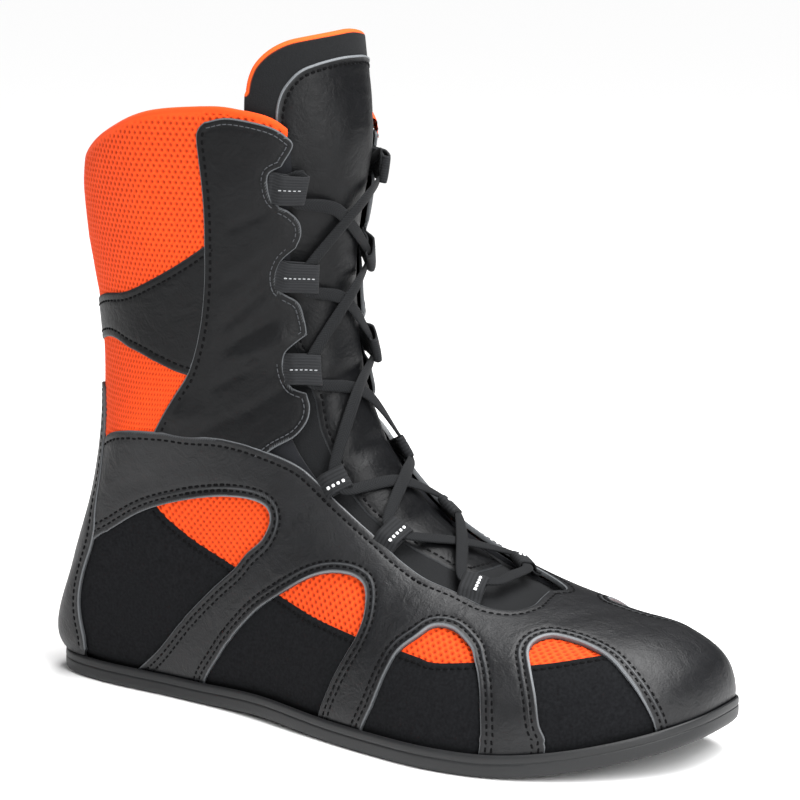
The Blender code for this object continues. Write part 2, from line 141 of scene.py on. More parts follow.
# ================================================================ the padded shell
# The boot's wall: foam lined with orange knit at the collar and black cloth below, open at the
# collar and the throat; its outside is black too, as painted shade where it shows between the
# panels. It is stitched over the last, and every panel is sewn on it.

# The last, the form that the boot is made on. Its sections stand at the toe and lie flat at
# the collar. u counts them; t runs across, 0 on the ridge, -1 and +1 on the sole or back seam
# by way of the outer and the inner side. Same sections as the solids, in millimetres.
SECTIONS = np.array((
    # bottom x, z; ridge x, z; outer and inner half width; height of the widest place as a
    # share; power below and above it; y of the bottom and of the ridge
    (278.5, 6.0, 283.5, 18.0, 9.0, 11.0, 0.45, 3.2, 2.2, 7.0, 9.0),
    (271.5, 3.0, 284.5, 27.0, 21.0, 19.0, 0.42, 3.6, 2.3, 5.5, 9.0),
    (260.0, 1.6, 279.0, 37.5, 33.0, 26.0, 0.38, 4.2, 2.45, 3.0, 8.5),
    (244.0, 0.6, 264.0, 45.0, 43.5, 33.0, 0.33, 4.6, 2.5, 0.0, 7.5),
    (222.0, 0.0, 241.0, 49.0, 51.5, 41.0, 0.31, 4.8, 2.6, -2.5, 6.0),
    (197.0, 0.0, 213.0, 54.0, 54.0, 46.0, 0.30, 4.8, 2.55, -3.5, 6.0),
    (169.0, 0.0, 186.5, 63.5, 51.0, 44.5, 0.30, 4.6, 2.45, -3.0, 6.5),
    (138.0, 0.6, 164.0, 77.5, 45.5, 39.0, 0.29, 4.4, 2.4, -2.0, 6.0),
    (104.0, 1.0, 147.0, 96.0, 39.5, 36.5, 0.28, 4.2, 2.4, 0.0, 5.0),
    (66.0, 1.0, 136.0, 118.0, 36.0, 36.0, 0.27, 4.0, 2.4, 0.0, 4.0),
    (29.0, 1.5, 131.0, 139.0, 35.0, 36.5, 0.27, 3.8, 2.5, 0.0, 3.0),
    (4.5, 9.5, 130.0, 159.0, 35.5, 37.0, 0.28, 3.2, 2.5, 0.0, 2.0),
    (9.5, 36.0, 131.0, 177.0, 36.5, 37.5, 0.31, 2.6, 2.4, 0.0, 1.0),
    (17.5, 66.0, 134.0, 193.0, 37.5, 38.0, 0.36, 2.2, 2.3, 0.0, 0.0),
    (22.0, 98.0, 136.5, 206.0, 38.5, 39.0, 0.42, 2.1, 2.2, 0.0, 0.0),
    (22.0, 130.0, 138.5, 217.0, 40.0, 40.0, 0.47, 2.1, 2.1, 0.0, 0.0),
    (18.5, 162.0, 139.5, 227.0, 41.5, 41.5, 0.50, 2.1, 2.1, 0.0, 0.0),
    (15.5, 194.0, 140.0, 237.0, 43.0, 43.0, 0.50, 2.1, 2.1, 0.0, 0.0),
    (15.5, 226.0, 139.0, 247.0, 44.5, 44.5, 0.50, 2.1, 2.1, 0.0, 0.0),
    (16.0, 258.0, 137.0, 262.0, 44.5, 44.5, 0.50, 2.1, 2.1, 0.0, 0.0),
))
HEEL_REST_X = 42.0       # from the last's back to the middle of the heel's rest
TOP_SECTION = len(SECTIONS) - 1
OUTER, INNER = -1, 1


def ramp(x, start, end):
    """0 to 1 as x goes from start to end, level beyond."""
    return np.clip((x - start) / (end - start), 0.0, 1.0)


def ease(share):
    """A share from 0 to 1 with a soft start and end."""
    return share * share * (3.0 - 2.0 * share)


def unit(vectors):
    """Directions made 1 long."""
    return vectors / np.maximum(np.linalg.norm(vectors, axis=-1), 1e-9)[..., None]


def run_along(points):
    """Length of lines of points, from the first point to each."""
    steps = np.linalg.norm(np.diff(points, axis=-2), axis=-1)
    return np.concatenate([np.zeros(steps.shape[:-1] + (1,)), np.cumsum(steps, axis=-1)], -1)


def resampled(line, run, at):
    """The columns of a line read at other lengths along it."""
    return np.stack([np.interp(at, run, column) for column in line.T], axis=1)


def rows_at(u):
    """Section rows at every u, on smooth curves through all sections."""
    u = np.clip(np.asarray(u, float), 0.0, TOP_SECTION)
    i = np.minimum(u.astype(int), TOP_SECTION - 1)
    t = (u - i)[..., None]
    here, after = SECTIONS[i], SECTIONS[i + 1]
    before = np.where((i > 0)[..., None], SECTIONS[np.maximum(i - 1, 0)], 2 * here - after)
    beyond = np.where((i + 2 <= TOP_SECTION)[..., None],
                      SECTIONS[np.minimum(i + 2, TOP_SECTION)], 2 * after - here)
    return ((2 * t**3 - 3 * t**2 + 1) * here + (t**3 - 2 * t**2 + t) * (after - before) / 2
            + (3 * t**2 - 2 * t**3) * after + (t**3 - t**2) * (beyond - here) / 2)


def on_section(rows, side, turn):
    """Points of sections at a turning angle from bottom (0) to ridge (pi)."""
    low = turn <= math.pi / 2
    power = 2 / np.where(low, rows[..., 7], rows[..., 8])
    widest = rows[..., 6]
    depth = np.abs(np.cos(turn)) ** power
    height = np.where(low, widest - widest * depth, widest + (1 - widest) * depth)
    half = np.where(side < 0, rows[..., 4], rows[..., 5])
    middle = rows[..., 9] + (rows[..., 10] - rows[..., 9]) * height
    return np.stack([rows[..., 0] + (rows[..., 2] - rows[..., 0]) * height - HEEL_REST_X,
                     middle + side * half * np.abs(np.sin(turn)) ** power,
                     rows[..., 1] + (rows[..., 3] - rows[..., 1]) * height], axis=-1)


# Turning angle for each share of a side's length, so that a measures true lengths.
TABLE_U = np.linspace(0.0, TOP_SECTION, TOP_SECTION * 16 + 1)
TABLE_A = np.linspace(0.0, 1.0, 161)
turning = np.linspace(0.0, math.pi, 241)
ANGLE, GIRTH = {}, {}
for side in (OUTER, INNER):
    line = on_section(rows_at(TABLE_U)[:, None, :], side, turning[None, :])
    run = run_along(line)
    GIRTH[side] = run[:, -1]
    ANGLE[side] = np.array([np.interp(TABLE_A * r[-1], r, turning) for r in run])


def on_last(u, t):
    """Points of the last in millimetres; t past -1 or +1 goes on round the back seam."""
    u, t = np.broadcast_arrays(np.asarray(u, float), np.asarray(t, float))
    t = (t + 1.0) % 2.0 - 1.0
    u = np.clip(u, 0.0, TOP_SECTION)
    side = np.where(t < 0, OUTER, INNER)
    share = np.clip(1.0 - np.abs(t), 0.0, 1.0)
    i = np.minimum((u * 16).astype(int), len(TABLE_U) - 2)
    j = np.minimum((share * 160).astype(int), len(TABLE_A) - 2)
    p, q = u * 16 - i, share * 160 - j
    turn = {one: (1 - p) * ((1 - q) * table[i, j] + q * table[i, j + 1])
            + p * ((1 - q) * table[i + 1, j] + q * table[i + 1, j + 1])
            for one, table in ANGLE.items()}
    return on_section(rows_at(u), side, np.where(t < 0, turn[OUTER], turn[INNER]))


def slopes(u, t):
    """Millimetres per section and per unit of t, and the outward direction."""
    du, dt = 0.05, 0.012
    high, low = np.minimum(u + du, TOP_SECTION), np.maximum(u - du, 0.0)
    by_u = (on_last(high, t) - on_last(low, t)) / (high - low)[..., None]
    by_t = (on_last(u, t + dt) - on_last(u, t - dt)) / (2 * dt)
    return by_u, by_t, unit(np.cross(by_t, by_u))


def over_last(u, t, lift=0.0):
    """Points lift millimetres out from the last."""
    u, t = np.broadcast_arrays(np.asarray(u, float), np.asarray(t, float))
    return on_last(u, t) + np.asarray(lift)[..., None] * slopes(u, t)[2]


# A flat pattern of the surface, in millimetres: along the foot, and across it.
MEAN_GIRTH = (GIRTH[OUTER] + GIRTH[INNER]) / 2
LEAST_STEP = 9.0         # sections never lie nearer than this on the pattern
mean_step = np.linalg.norm(np.diff((SECTIONS[:, 0:2] + SECTIONS[:, 2:4]) / 2, axis=0), axis=1)
ALONG = np.concatenate([[0.0], np.cumsum(np.maximum(mean_step, LEAST_STEP))])


def to_pattern(u, t):
    """Pattern place of surface points."""
    return np.stack([np.interp(u, np.arange(TOP_SECTION + 1), ALONG),
                     t * np.interp(u, TABLE_U, MEAN_GIRTH)], axis=-1)


def from_pattern(flat):
    """Surface coordinates of pattern places."""
    u = np.interp(flat[..., 0], ALONG, np.arange(TOP_SECTION + 1))
    return u, flat[..., 1] / np.interp(u, TABLE_U, MEAN_GIRTH)


def add_piece(name, points, faces, material, smooth=40.0):
    """A piece of the boot from points in millimetres, riding on the boot."""
    mesh = bpy.data.meshes.new(name)
    mesh.from_pydata((np.asarray(points) * MM).tolist(), [], faces)
    mesh.validate()
    for one in (material if isinstance(material, (list, tuple)) else [material]):
        mesh.materials.append(one)
    mesh.shade_smooth()
    if smooth:
        mesh.set_sharp_from_angle(angle=math.radians(smooth))
    piece = bpy.data.objects.new(name, mesh)
    bpy.context.scene.collection.objects.link(piece)
    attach(piece, "root")
    return piece


# Edges of the wall on each side, as (share of the side, section) and (section, share).
COLLAR = {OUTER: ((0.0, 17.25), (0.15, 17.38), (0.30, 17.58), (0.45, 17.70), (0.60, 17.52),
                  (0.68, 17.25), (0.76, 16.75), (0.83, 15.80)),
          INNER: ((0.0, 17.25), (0.15, 17.33), (0.30, 17.45), (0.45, 17.50), (0.60, 17.35),
                  (0.68, 17.20), (0.76, 16.85), (0.83, 16.10))}
THROAT = {OUTER: ((5.5, 0.795), (7.0, 0.795), (9.2, 0.79), (10.5, 0.83), (12.0, 0.85),
                  (13.0, 0.85), (14.5, 0.82), (16.0, 0.815), (18.0, 0.80)),
          INNER: ((5.5, 0.86), (7.0, 0.865), (9.2, 0.86), (10.5, 0.865), (12.0, 0.865),
                  (13.0, 0.86), (14.5, 0.845), (16.0, 0.835), (18.0, 0.82))}
THROAT_FOOT, THROAT_ROUND, THROAT_POWER = 4.87, 0.62, 2.6
# The rows over the fan's section spread from there to the collar line, just under the roll.
FAN_FROM, FAN_TO, UNDER_ROLL = 12.0, 18.0, 0.07
SHELL_OUT, SHELL_IN = -2.3, -3.8
SOLE_FLOOR = 3.5
TOE_SPRING_X, TOE_SPRING, LAST_LENGTH = 212.0, 13.5, 288.0
ARCH_FROM, ARCH_TO, ARCH_RISE = 78.0, 158.0, 1.2


HAND_PLACED = 30         # a line with more points than this is smooth already


def through(points):
    """A smooth line through given points."""
    p = np.asarray(points, float)
    if len(p) > HAND_PLACED:
        return p
    if len(p) == 2:
        return p[0] + (p[1] - p[0]) * np.linspace(0.0, 1.0, 25)[:, None]
    ends = np.vstack([2 * p[0] - p[1], p, 2 * p[-1] - p[-2]])
    t = np.linspace(0.0, 1.0, 13)[:-1, None]
    spans = [b + 0.5 * t * (c - a + t * (2 * a - 5 * b + 4 * c - d + t * (3 * (b - c) + d - a)))
             for a, b, c, d in zip(ends, ends[1:], ends[2:], ends[3:])]
    return np.vstack(spans + [p[-1:]])


def read(pairs, x):
    """Smooth reading of a list of pairs."""
    keys, values = through(pairs).T
    return np.interp(x, keys, values)


def tread_z(x):
    """Height of the tread at frame x: level heel and ball, low arch, toe spring."""
    x = np.asarray(x, float) + HEEL_REST_X
    arch = ramp(x, ARCH_FROM, ARCH_TO)
    toe = np.maximum(x - TOE_SPRING_X, 0.0) / (LAST_LENGTH - TOE_SPRING_X)
    return ARCH_RISE * np.sin(math.pi * arch) ** 2 + TOE_SPRING * toe**2


def share_at_level(u, side, level):
    """The lowest share of a side that stands level millimetres over the tread."""
    u = np.atleast_1d(np.asarray(u, float))
    a = np.linspace(0.0, 1.0, 401)
    p = on_last(u[:, None], side * (1.0 - a[None, :]))
    over = p[..., 2] - tread_z(p[..., 0]) - level
    first = np.argmax(over >= 0, axis=1)
    return np.where(over.max(axis=1) < 0, 1.0, a[first])


def throat_share(u, side):
    """Share of a side where the upper stops at the throat."""
    edge = read(THROAT[side], u)
    t = ramp(u, THROAT_FOOT, THROAT_FOOT + THROAT_ROUND)
    return 1.0 - (1.0 - edge) * (1.0 - (1.0 - t) ** THROAT_POWER) ** (1 / THROAT_POWER)


def collar_row(row, a, side):
    """Section of a grid row; the upper rows fan out to the collar line."""
    reach = read(COLLAR[side], a) - UNDER_ROLL - FAN_FROM
    return np.where(row > FAN_FROM, FAN_FROM + (row - FAN_FROM) * reach / (FAN_TO - FAN_FROM),
                    row)


def grid_faces(rows, columns, start=0, flip=False):
    """Quads of a grid whose points are numbered row by row."""
    i, j = np.meshgrid(np.arange(rows - 1), np.arange(columns - 1), indexing="ij")
    a = (start + i * columns + j).ravel()
    quads = np.stack([a, a + 1, a + columns + 1, a + columns], axis=1)
    return (quads[:, ::-1] if flip else quads).tolist()


def store(piece, name, values):
    """Keeps one number for each point of a piece, for its material."""
    layer = piece.data.attributes.new(name, "FLOAT", "POINT")
    layer.data.foreach_set("value", np.asarray(values, np.float32))


def dress(tree, dark, light, tone_by, height, strength, depth, bare=None):
    """Two tones mixed by one socket, light bare edges, and relief from another socket."""
    shader = tree.nodes["Principled BSDF"]
    tone = add_node(tree, "ShaderNodeMix", {"A": linear(dark), "B": linear(light)},
                    {"Factor": tone_by}, data_type="RGBA")
    if bare:
        edge = add_node(tree, "ShaderNodeAttribute", attribute_name="bare")
        tone = add_node(tree, "ShaderNodeMix", {"B": linear(bare)},
                        {"Factor": edge.outputs["Fac"], "A": tone.outputs["Result"]},
                        data_type="RGBA")
    bump = add_node(tree, "ShaderNodeBump", {"Strength": strength, "Distance": depth},
                    {"Height": height})
    tree.links.new(tone.outputs["Result"], shader.inputs["Base Color"])
    tree.links.new(bump.outputs["Normal"], shader.inputs["Normal"])
    return bump


def knit_material(name, light, dark):
    """Polyester spacer mesh: matt, with painted shade in its round holes and fine bright yarn.
    """
    material, tree, shader = new_material(name, light, 0.82, Specular_IOR_Level=0.15,
                                          Sheen_Weight=0.06, Sheen_Roughness=0.5)
    place = add_node(tree, "ShaderNodeTexCoord")
    hole = add_node(tree, "ShaderNodeAttribute", attribute_name="hole")
    yarn = add_node(tree, "ShaderNodeTexNoise", {"Scale": 2400.0, "Detail": 2.0},
                    {"Vector": place.outputs["Object"]})
    cloud = add_node(tree, "ShaderNodeTexNoise", {"Scale": 60.0, "Detail": 2.0},
                     {"Vector": place.outputs["Object"]})
    # The holes take the dark colour: painted shade in the hollows.
    tone = add_node(tree, "ShaderNodeMix", {"A": linear(light), "B": linear(dark)},
                    {"Factor": hole.outputs["Fac"]}, data_type="RGBA")
    fine = add_node(tree, "ShaderNodeMix", {"Factor": 0.10},
                    {"A": tone.outputs["Result"], "B": yarn.outputs["Color"]},
                    data_type="RGBA", blend_type="OVERLAY")
    wide = add_node(tree, "ShaderNodeMix", {"Factor": 0.12},
                    {"A": fine.outputs["Result"], "B": cloud.outputs["Fac"]},
                    data_type="RGBA", blend_type="SOFT_LIGHT")
    tree.links.new(wide.outputs["Result"], shader.inputs["Base Color"])
    bump = add_node(tree, "ShaderNodeBump", {"Strength": 0.35, "Distance": 0.00025},
                    {"Height": yarn.outputs["Fac"]})
    tree.links.new(bump.outputs["Normal"], shader.inputs["Normal"])
    return material


# Bright orange knit outside, with painted shade in dark brown-red in its holes; plainer orange
# and black knit inside.
orange_knit = knit_material("polyester_spacer_mesh_orange", "#EC4C16", "#841C02")
lining_knit = knit_material("polyester_lining_orange", "#E8541C", "#C83A10")
black_lining_and_gap_shade = knit_material("polyester_lining_black_gap_shade", "#1B1C1F", "#101113")
ORANGE_FROM = 12.2       # section over which the lining is orange
SHAFT_X = 0.038          # middle of the shaft

SHELL_ROWS = np.concatenate([np.linspace(0.0, 4.8, 40), np.linspace(4.87, 5.5, 16),
                             np.linspace(5.6, 12.0, 48), np.linspace(12.2, 18.0, 44)])
SHELL_COLUMNS = 48
points, faces, sections = [], [], []
for side in (OUTER, INNER):
    low = np.where(SHELL_ROWS < 12.0, share_at_level(SHELL_ROWS, side, SOLE_FLOOR), 0.0)
    high = throat_share(SHELL_ROWS, side)
    share = np.linspace(0.0, 1.0, SHELL_COLUMNS)[None, :]
    a = low[:, None] + (high - low)[:, None] * share
    v = collar_row(SHELL_ROWS[:, None], a, side)
    for lift, flip in ((SHELL_OUT, side == OUTER), (SHELL_IN, side == INNER)):
        start = len(points)
        points.extend(over_last(v, side * (1.0 - a), lift).reshape(-1, 3))
        sections.extend(v.ravel())
        faces.extend(grid_faces(len(SHELL_ROWS), SHELL_COLUMNS, start, not flip))
    rows, columns = len(SHELL_ROWS), SHELL_COLUMNS
    outside, inside = start - rows * columns, start
    edge = ([(i, columns - 1) for i in range(rows)]
            + [(rows - 1, j) for j in range(columns - 1, -1, -1)])
    for (i, j), (k, m) in zip(edge, edge[1:]):
        faces.append((outside + i * columns + j, outside + k * columns + m,
                      inside + k * columns + m, inside + i * columns + j))
shell = add_piece("padded_shell", points, faces, [black_lining_and_gap_shade, lining_knit],
                  smooth=50)
store(shell, "section", sections)
work = bmesh.new()
work.from_mesh(shell.data)
bmesh.ops.remove_doubles(work, verts=work.verts, dist=0.00002)
bmesh.ops.recalc_face_normals(work, faces=work.faces)
section_of = work.verts.layers.float["section"]
# Inward faces above ORANGE_FROM are orange; all others are black: the black lining inside, and
# painted shade on the outside where it shows between the panels.
for face in work.faces:
    middle = face.calc_center_median()
    facing_in = face.normal.x * (middle.x - SHAFT_X) + face.normal.y * middle.y < 0.0
    high = min(corner[section_of] for corner in face.verts) > ORANGE_FROM
    face.material_index = 1 if facing_in and high else 0
work.to_mesh(shell.data)
work.free()
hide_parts("upper")


# ================================================================ the orange mesh sleeve
# Spacer mesh over foam round the back of the shaft, rolled over the collar and sewn inside.
# Its holes are real dimples in staggered rows, drawn a little coarser than the knit's own, and
# painted darker as their shade.
HOLE_PITCH, HOLE_ROW, HOLE_RADIUS, HOLE_DEPTH = 2.8, 2.0, 1.25, 0.7


def knit_holes(p, q):
    """How deep a place lies in the nearest hole, 0 to 1."""
    row = np.round(q / HOLE_ROW)
    column = p / HOLE_PITCH - 0.5 * np.mod(row, 2.0)
    away = np.hypot((column - np.round(column)) * HOLE_PITCH, q - row * HOLE_ROW)
    return ease(ramp(away, HOLE_RADIUS, 0.0))


def make_sleeve(name, from_t, to_t, columns, rows, depth=None, flare=0.0, inner_lift=-4.3):
    """A band of mesh from under the cage (or so far under the collar) up and over the collar."""
    t = np.linspace(from_t, to_t, columns)
    a = np.abs(np.abs(t) - 1.0)
    side = np.where(t > -1.0, OUTER, INNER)
    top = np.where(side < 0, read(COLLAR[OUTER], a), read(COLLAR[INNER], a))
    pitch = np.linalg.norm(slopes(top - 0.3, t)[0], axis=1)
    top = top - ROLL / pitch
    share = np.linspace(0.0, 1.0, rows)[:, None]
    foot = np.full(columns, SLEEVE_FOOT) if depth is None else top - depth
    u = foot[None, :] + (top - foot)[None, :] * share
    wide_t = np.broadcast_to(t, u.shape)
    flat = on_last(u, wide_t)
    run = run_along(flat)
    middle = int(np.argmin(np.abs(t + 1.0)))
    hole = knit_holes(run - run[:, middle:middle + 1], flat[..., 2])
    hole = hole * np.clip((1.0 - share) * 60.0, 0.0, 1.0)
    swell = ramp(u - np.interp(a, *BAND_HIGH), 0.1, 0.8) * SWELL_OVER
    swell += ramp(np.interp(a, *BAND_LOW) - u, 0.1, 0.8) * SWELL_UNDER
    lift = SLEEVE_LIFT + swell * ramp(a, 0.5, 0.4) + flare * ramp(a, 0.62, 0.74)
    lift = lift - ROUND_IN * ramp(top - u, ROUND_FROM, 0.0) ** 2
    body = over_last(u, wide_t, lift - HOLE_DEPTH * hole)
    up, _, out = slopes(top, t)
    up = unit(up)
    rim = over_last(top, t, lift[-1])
    across = ((lift[-1] - inner_lift) / 2)[:, None] * out
    rolled = []
    for turn in np.linspace(0.0, math.pi, 15)[1:]:
        rolled.append(rim + math.sin(turn) * ROLL * up - (1.0 - math.cos(turn)) * across)
    hem = rolled[-1]
    rolled += [hem - drop * up for drop in np.linspace(1.0, HEM_DEPTH, 10)]
    points = np.concatenate([body.reshape(-1, 3), np.array(rolled).reshape(-1, 3)])
    # The roll and hem have no dimples; they get a little of the holes' painted shade all over.
    holes = np.concatenate([hole.ravel(), np.full(len(rolled) * columns, 0.15)])
    faces = grid_faces(rows + len(rolled), columns)
    store(add_piece(name, points, faces, orange_knit, smooth=0), "hole", holes)


SLEEVE_FOOT, SLEEVE_LIFT, ROLL = 12.1, -0.5, 2.3
# The leather band pulls the foam in: its edges as (shares, sections), and the swelling beyond.
BAND_HIGH = ((0.0, 0.188, 0.317, 0.40, 0.50, 0.583), (15.62, 15.50, 15.20, 15.05, 14.90, 14.82))
BAND_LOW = ((0.0, 0.204, 0.329, 0.433, 0.55), (15.10, 14.90, 14.30, 13.60, 12.70))
SWELL_OVER, SWELL_UNDER = 1.4, 0.6
ROUND_IN, ROUND_FROM = 1.0, 0.40     # the collar rounds inward over this part of a section
HEM_DEPTH = 14.0                     # how far the mesh reaches down inside
make_sleeve("collar_sleeve_mesh", -0.405, -1.595, 300, 225)
make_sleeve("collar_rim_outer", -0.205, -0.41, 70, 14, 0.35, inner_lift=-4.0)
make_sleeve("collar_rim_inner", -1.59, -1.815, 90, 14, 0.40, flare=1.6, inner_lift=-4.0)


# ================================================================ window panels
# Mesh and suede let in under the four arches of each side: mesh above, suede below it. Like
# every panel, each is cut by a listed outline and pulled over the last, and has a shaped edge, a
# seam that dips a little and a skirt down to what lies under it.
def evenly(line, pitch):
    """The same surface line at even steps in true millimetres."""
    run = run_along(on_last(*line.T))
    return resampled(line, run, np.linspace(0.0, run[-1], max(2, round(run[-1] / pitch)) + 1))


def beside(line, distance):
    """The surface line moved square to itself, to its left when seen from outside."""
    by_u, by_t, out = slopes(line[:, 0], line[:, 1])
    step = np.gradient(line, axis=0)
    left = np.cross(out, unit(by_u * step[:, :1] + by_t * step[:, 1:])) * distance
    uu, tt, ut = (by_u * by_u).sum(1), (by_t * by_t).sum(1), (by_u * by_t).sum(1)
    lu, lt = (left * by_u).sum(1), (left * by_t).sum(1)
    size = uu * tt - ut * ut
    return line + np.stack([(lu * tt - lt * ut) / size, (lt * uu - lu * ut) / size], axis=1)


def inside(outline, places):
    """Which places lie inside a closed outline."""
    x, y = places[:, 0], places[:, 1]
    result = np.zeros(len(places), bool)
    for (x1, y1), (x2, y2) in zip(outline, np.roll(outline, -1, axis=0)):
        if y1 != y2:
            crosses = (y1 > y) != (y2 > y)
            result ^= crosses & (x < (x2 - x1) * (y - y1) / (y2 - y1) + x1)
    return result


def nearest(places, points):
    """Distance from every place to the nearest of the points."""
    result = np.full(len(places), 1e9)
    if len(points):
        for start in range(0, len(places), 2000):
            part = places[start:start + 2000]
            gap = ((part[:, None, :] - points[None, :, :]) ** 2).sum(axis=2)
            result[start:start + 2000] = np.sqrt(gap.min(axis=1))
    return result


# Cross-sections of the three kinds of edge: rows of points beside the edge, in millimetres.
EDGE_ROWS = {"cut": (0.12, 0.35, 0.55, 1.5, 2.3, 3.0, 3.7, 4.8),
             "turned": (0.12, 0.4, 0.8, 1.5, 2.3, 3.0, 3.7, 4.8),
             "window": (0.12, 0.5, 0.75, 1.2, 1.5, 2.3, 3.0, 3.2, 3.6, 3.8, 4.5, 5.2, 6.3),
             "cord": (0.2, 0.5, 0.8, 1.0, 2.0, 3.0, 4.0, 5.0),
             "roll": (0.1, 0.35, 0.8, 1.3, 1.7, 2.1, 3.0),
             "plain": (0.4, 1.2, 2.2), "hidden": (0.8,)}


def bell(d, middle, width):
    """A soft bump of height 1."""
    return np.exp(-((d - middle) / width) ** 2)


def edge_shape(kind, d, t):
    """Rise of the surface and amount of bare edge, d millimetres in from an edge."""
    if kind in ("cut", "turned"):
        rise = -0.35 * bell(d, 0.0, 0.3) - 0.22 * bell(d, 3.0, 0.7)
        return rise, (0.6 if kind == "cut" else 0.15) * ramp(d, 0.55, 0.35)
    if kind == "window":
        high = ramp(np.abs(t), 0.46, 0.34)
        rise = (-0.35 * bell(d, 0.0, 0.3) + 0.12 * bell(d, 0.8, 0.6) - 0.25 * bell(d, 2.3, 0.6)
                + 0.08 * bell(d, 3.4, 0.4) - 0.25 * bell(d, 4.5, 0.7))
        bare = (0.6 + 0.3 * high) * ramp(d - 0.35 * high, 0.5, 0.3)
        second = 0.3 * high * ramp(np.abs(d - 3.4), 0.35, 0.15)
        return rise, np.maximum(bare, second)
    if kind == "cord":
        rise = (0.45 * np.sqrt(np.clip(1.0 - ((d - 0.5) / 0.5) ** 2, 0.0, 1.0))
                - 0.4 * bell(d, 0.0, 0.3) - 0.25 * bell(d, 3.0, 0.7))
        return rise, 1.5 * ramp(d, 0.95, 0.7)
    if kind == "roll":
        reach = ramp(d, 0.0, 2.1)
        return -1.9 * (1.0 - np.sqrt(1.0 - (1.0 - reach) ** 2)), ramp(d, 1.7, 1.3)
    if kind == "plain":
        return -0.2 * bell(d, 0.0, 0.8), np.zeros_like(d)
    return np.zeros_like(d), np.zeros_like(d)


# Shares of a distance that rows, grid points and seams keep from what is next to them.
RING_CLEAR, GRID_CLEAR, SEAM_CLEAR = 0.86, 0.45, 0.8


def panel(name, segments, material, lift, thick, grid=1.7, pitch=1.0, relief=None,
          holes=None, base=None, lining=None):
    """A sewn-on piece inside an outline of (kind, points) segments that follow each other."""
    lines = [evenly(through(points), pitch) for _, points in segments]
    outline = np.vstack([line[:-1] for line in lines])
    kinds = np.concatenate([[kind] * (len(line) - 1)
                            for (kind, _), line in zip(segments, lines)])
    flat_outline = to_pattern(outline[:, 0], outline[:, 1])
    x, y = outline[:, 1], outline[:, 0]
    sign = 1.0 if (x * np.roll(y, -1) - np.roll(x, -1) * y).sum() > 0 else -1.0
    level = base if base else lambda u, t: 0.0
    rim = {kind: over_last(*outline[kinds == kind].T, lift + level(*outline[kinds == kind].T))
           for kind in sorted(set(kinds))}
    whole = np.vstack(list(rim.values()))

    extra = []
    for (kind, _), line in zip(segments, lines):
        for d in EDGE_ROWS[kind]:
            row = beside(line, sign * d)
            gap = nearest(over_last(*row.T, lift + level(*row.T)), whole)
            keep = (gap > RING_CLEAR * d) & inside(flat_outline, to_pattern(*row.T))
            extra.append(row[keep])
    low, high = flat_outline.min(axis=0), flat_outline.max(axis=0)
    across, along = np.meshgrid(np.arange(low[1], high[1], grid),
                                np.arange(low[0], high[0], grid * 0.87))
    across = across + grid / 2 * (np.arange(len(across)) % 2)[:, None]
    cells = np.stack([along.ravel(), across.ravel()], axis=1)
    cells = cells[inside(flat_outline, cells)]
    places = np.stack(from_pattern(cells), axis=1)
    flat_places = over_last(*places.T, lift + level(*places.T))
    clear = np.ones(len(places), bool)
    for kind, points in rim.items():
        clear &= nearest(flat_places, points) > EDGE_ROWS[kind][-1] + GRID_CLEAR * grid
    extra.append(places[clear])
    extra = np.vstack(extra)

    flat = np.vstack([flat_outline, to_pattern(*extra.T)])
    count = len(outline)
    found, _, triangles, source, _, _ = delaunay_2d_cdt(
        [Vector(p) for p in flat], [], [list(range(count))], 1, 1e-4, True)
    found = np.array([tuple(p) for p in found])
    u, t = from_pattern(found)
    lift = lift + level(u, t) + np.zeros(len(u))
    places = over_last(u, t, lift)
    rise, bare = np.zeros(len(u)), np.zeros(len(u))
    for kind, points in rim.items():
        one_rise, one_bare = edge_shape(kind, nearest(places, points), t)
        rise, bare = rise + one_rise, np.maximum(bare, one_bare)
    if relief is not None:
        rise = rise + relief(u, t, places)
    hole = None
    if holes is not None:
        hole = knit_holes(*holes(u, t, places))
        rise = rise - HOLE_DEPTH * hole
    points = over_last(u, t, lift + rise)
    triangles = np.array([tuple(face) for face in triangles])
    middles = found[triangles].mean(axis=1)
    faces = [tuple(face) for face in triangles[inside(flat_outline, middles)][:, ::-1].tolist()]

    where = {}
    for new, old in enumerate(source):
        for one in old:
            where[one] = new
    ring = [where[k] for k in range(count)]
    skirt = over_last(u[ring], t[ring], lift[ring] - thick)
    if lining:
        skirt = over_last(u, t, lift - thick - 0.8 * rise)
        front = len(faces)
        faces += [tuple(face[::-1] + len(points)) for face in np.array(faces)]
    start = len(points)
    points = np.vstack([points, skirt])
    for k in range(count):
        m = (k + 1) % count
        low, ahead = (ring[k], ring[m]) if lining else (k, m)
        quad = (ring[k], ring[m], start + ahead, start + low)
        faces.append(quad[::-1] if sign < 0 else quad)
    bare = np.concatenate([bare, np.full(len(skirt), 1.0 if lining else 0.15)])
    piece = add_piece(name, points, faces, [material] + ([lining] if lining else []),
                      smooth=60)
    store(piece, "bare", bare)
    if lining:
        index = np.zeros(len(faces), np.int32)
        index[front:2 * front] = 1
        piece.data.polygons.foreach_set("material_index", index)
    if hole is not None:
        store(piece, "hole", np.concatenate([hole, np.zeros(len(skirt))]))
    return piece, lines, sign, whole


THREAD_PITCH, THREAD_LONG, THREAD_WIDE, THREAD_HIGH = 2.8, 2.1, 1.05, 0.42


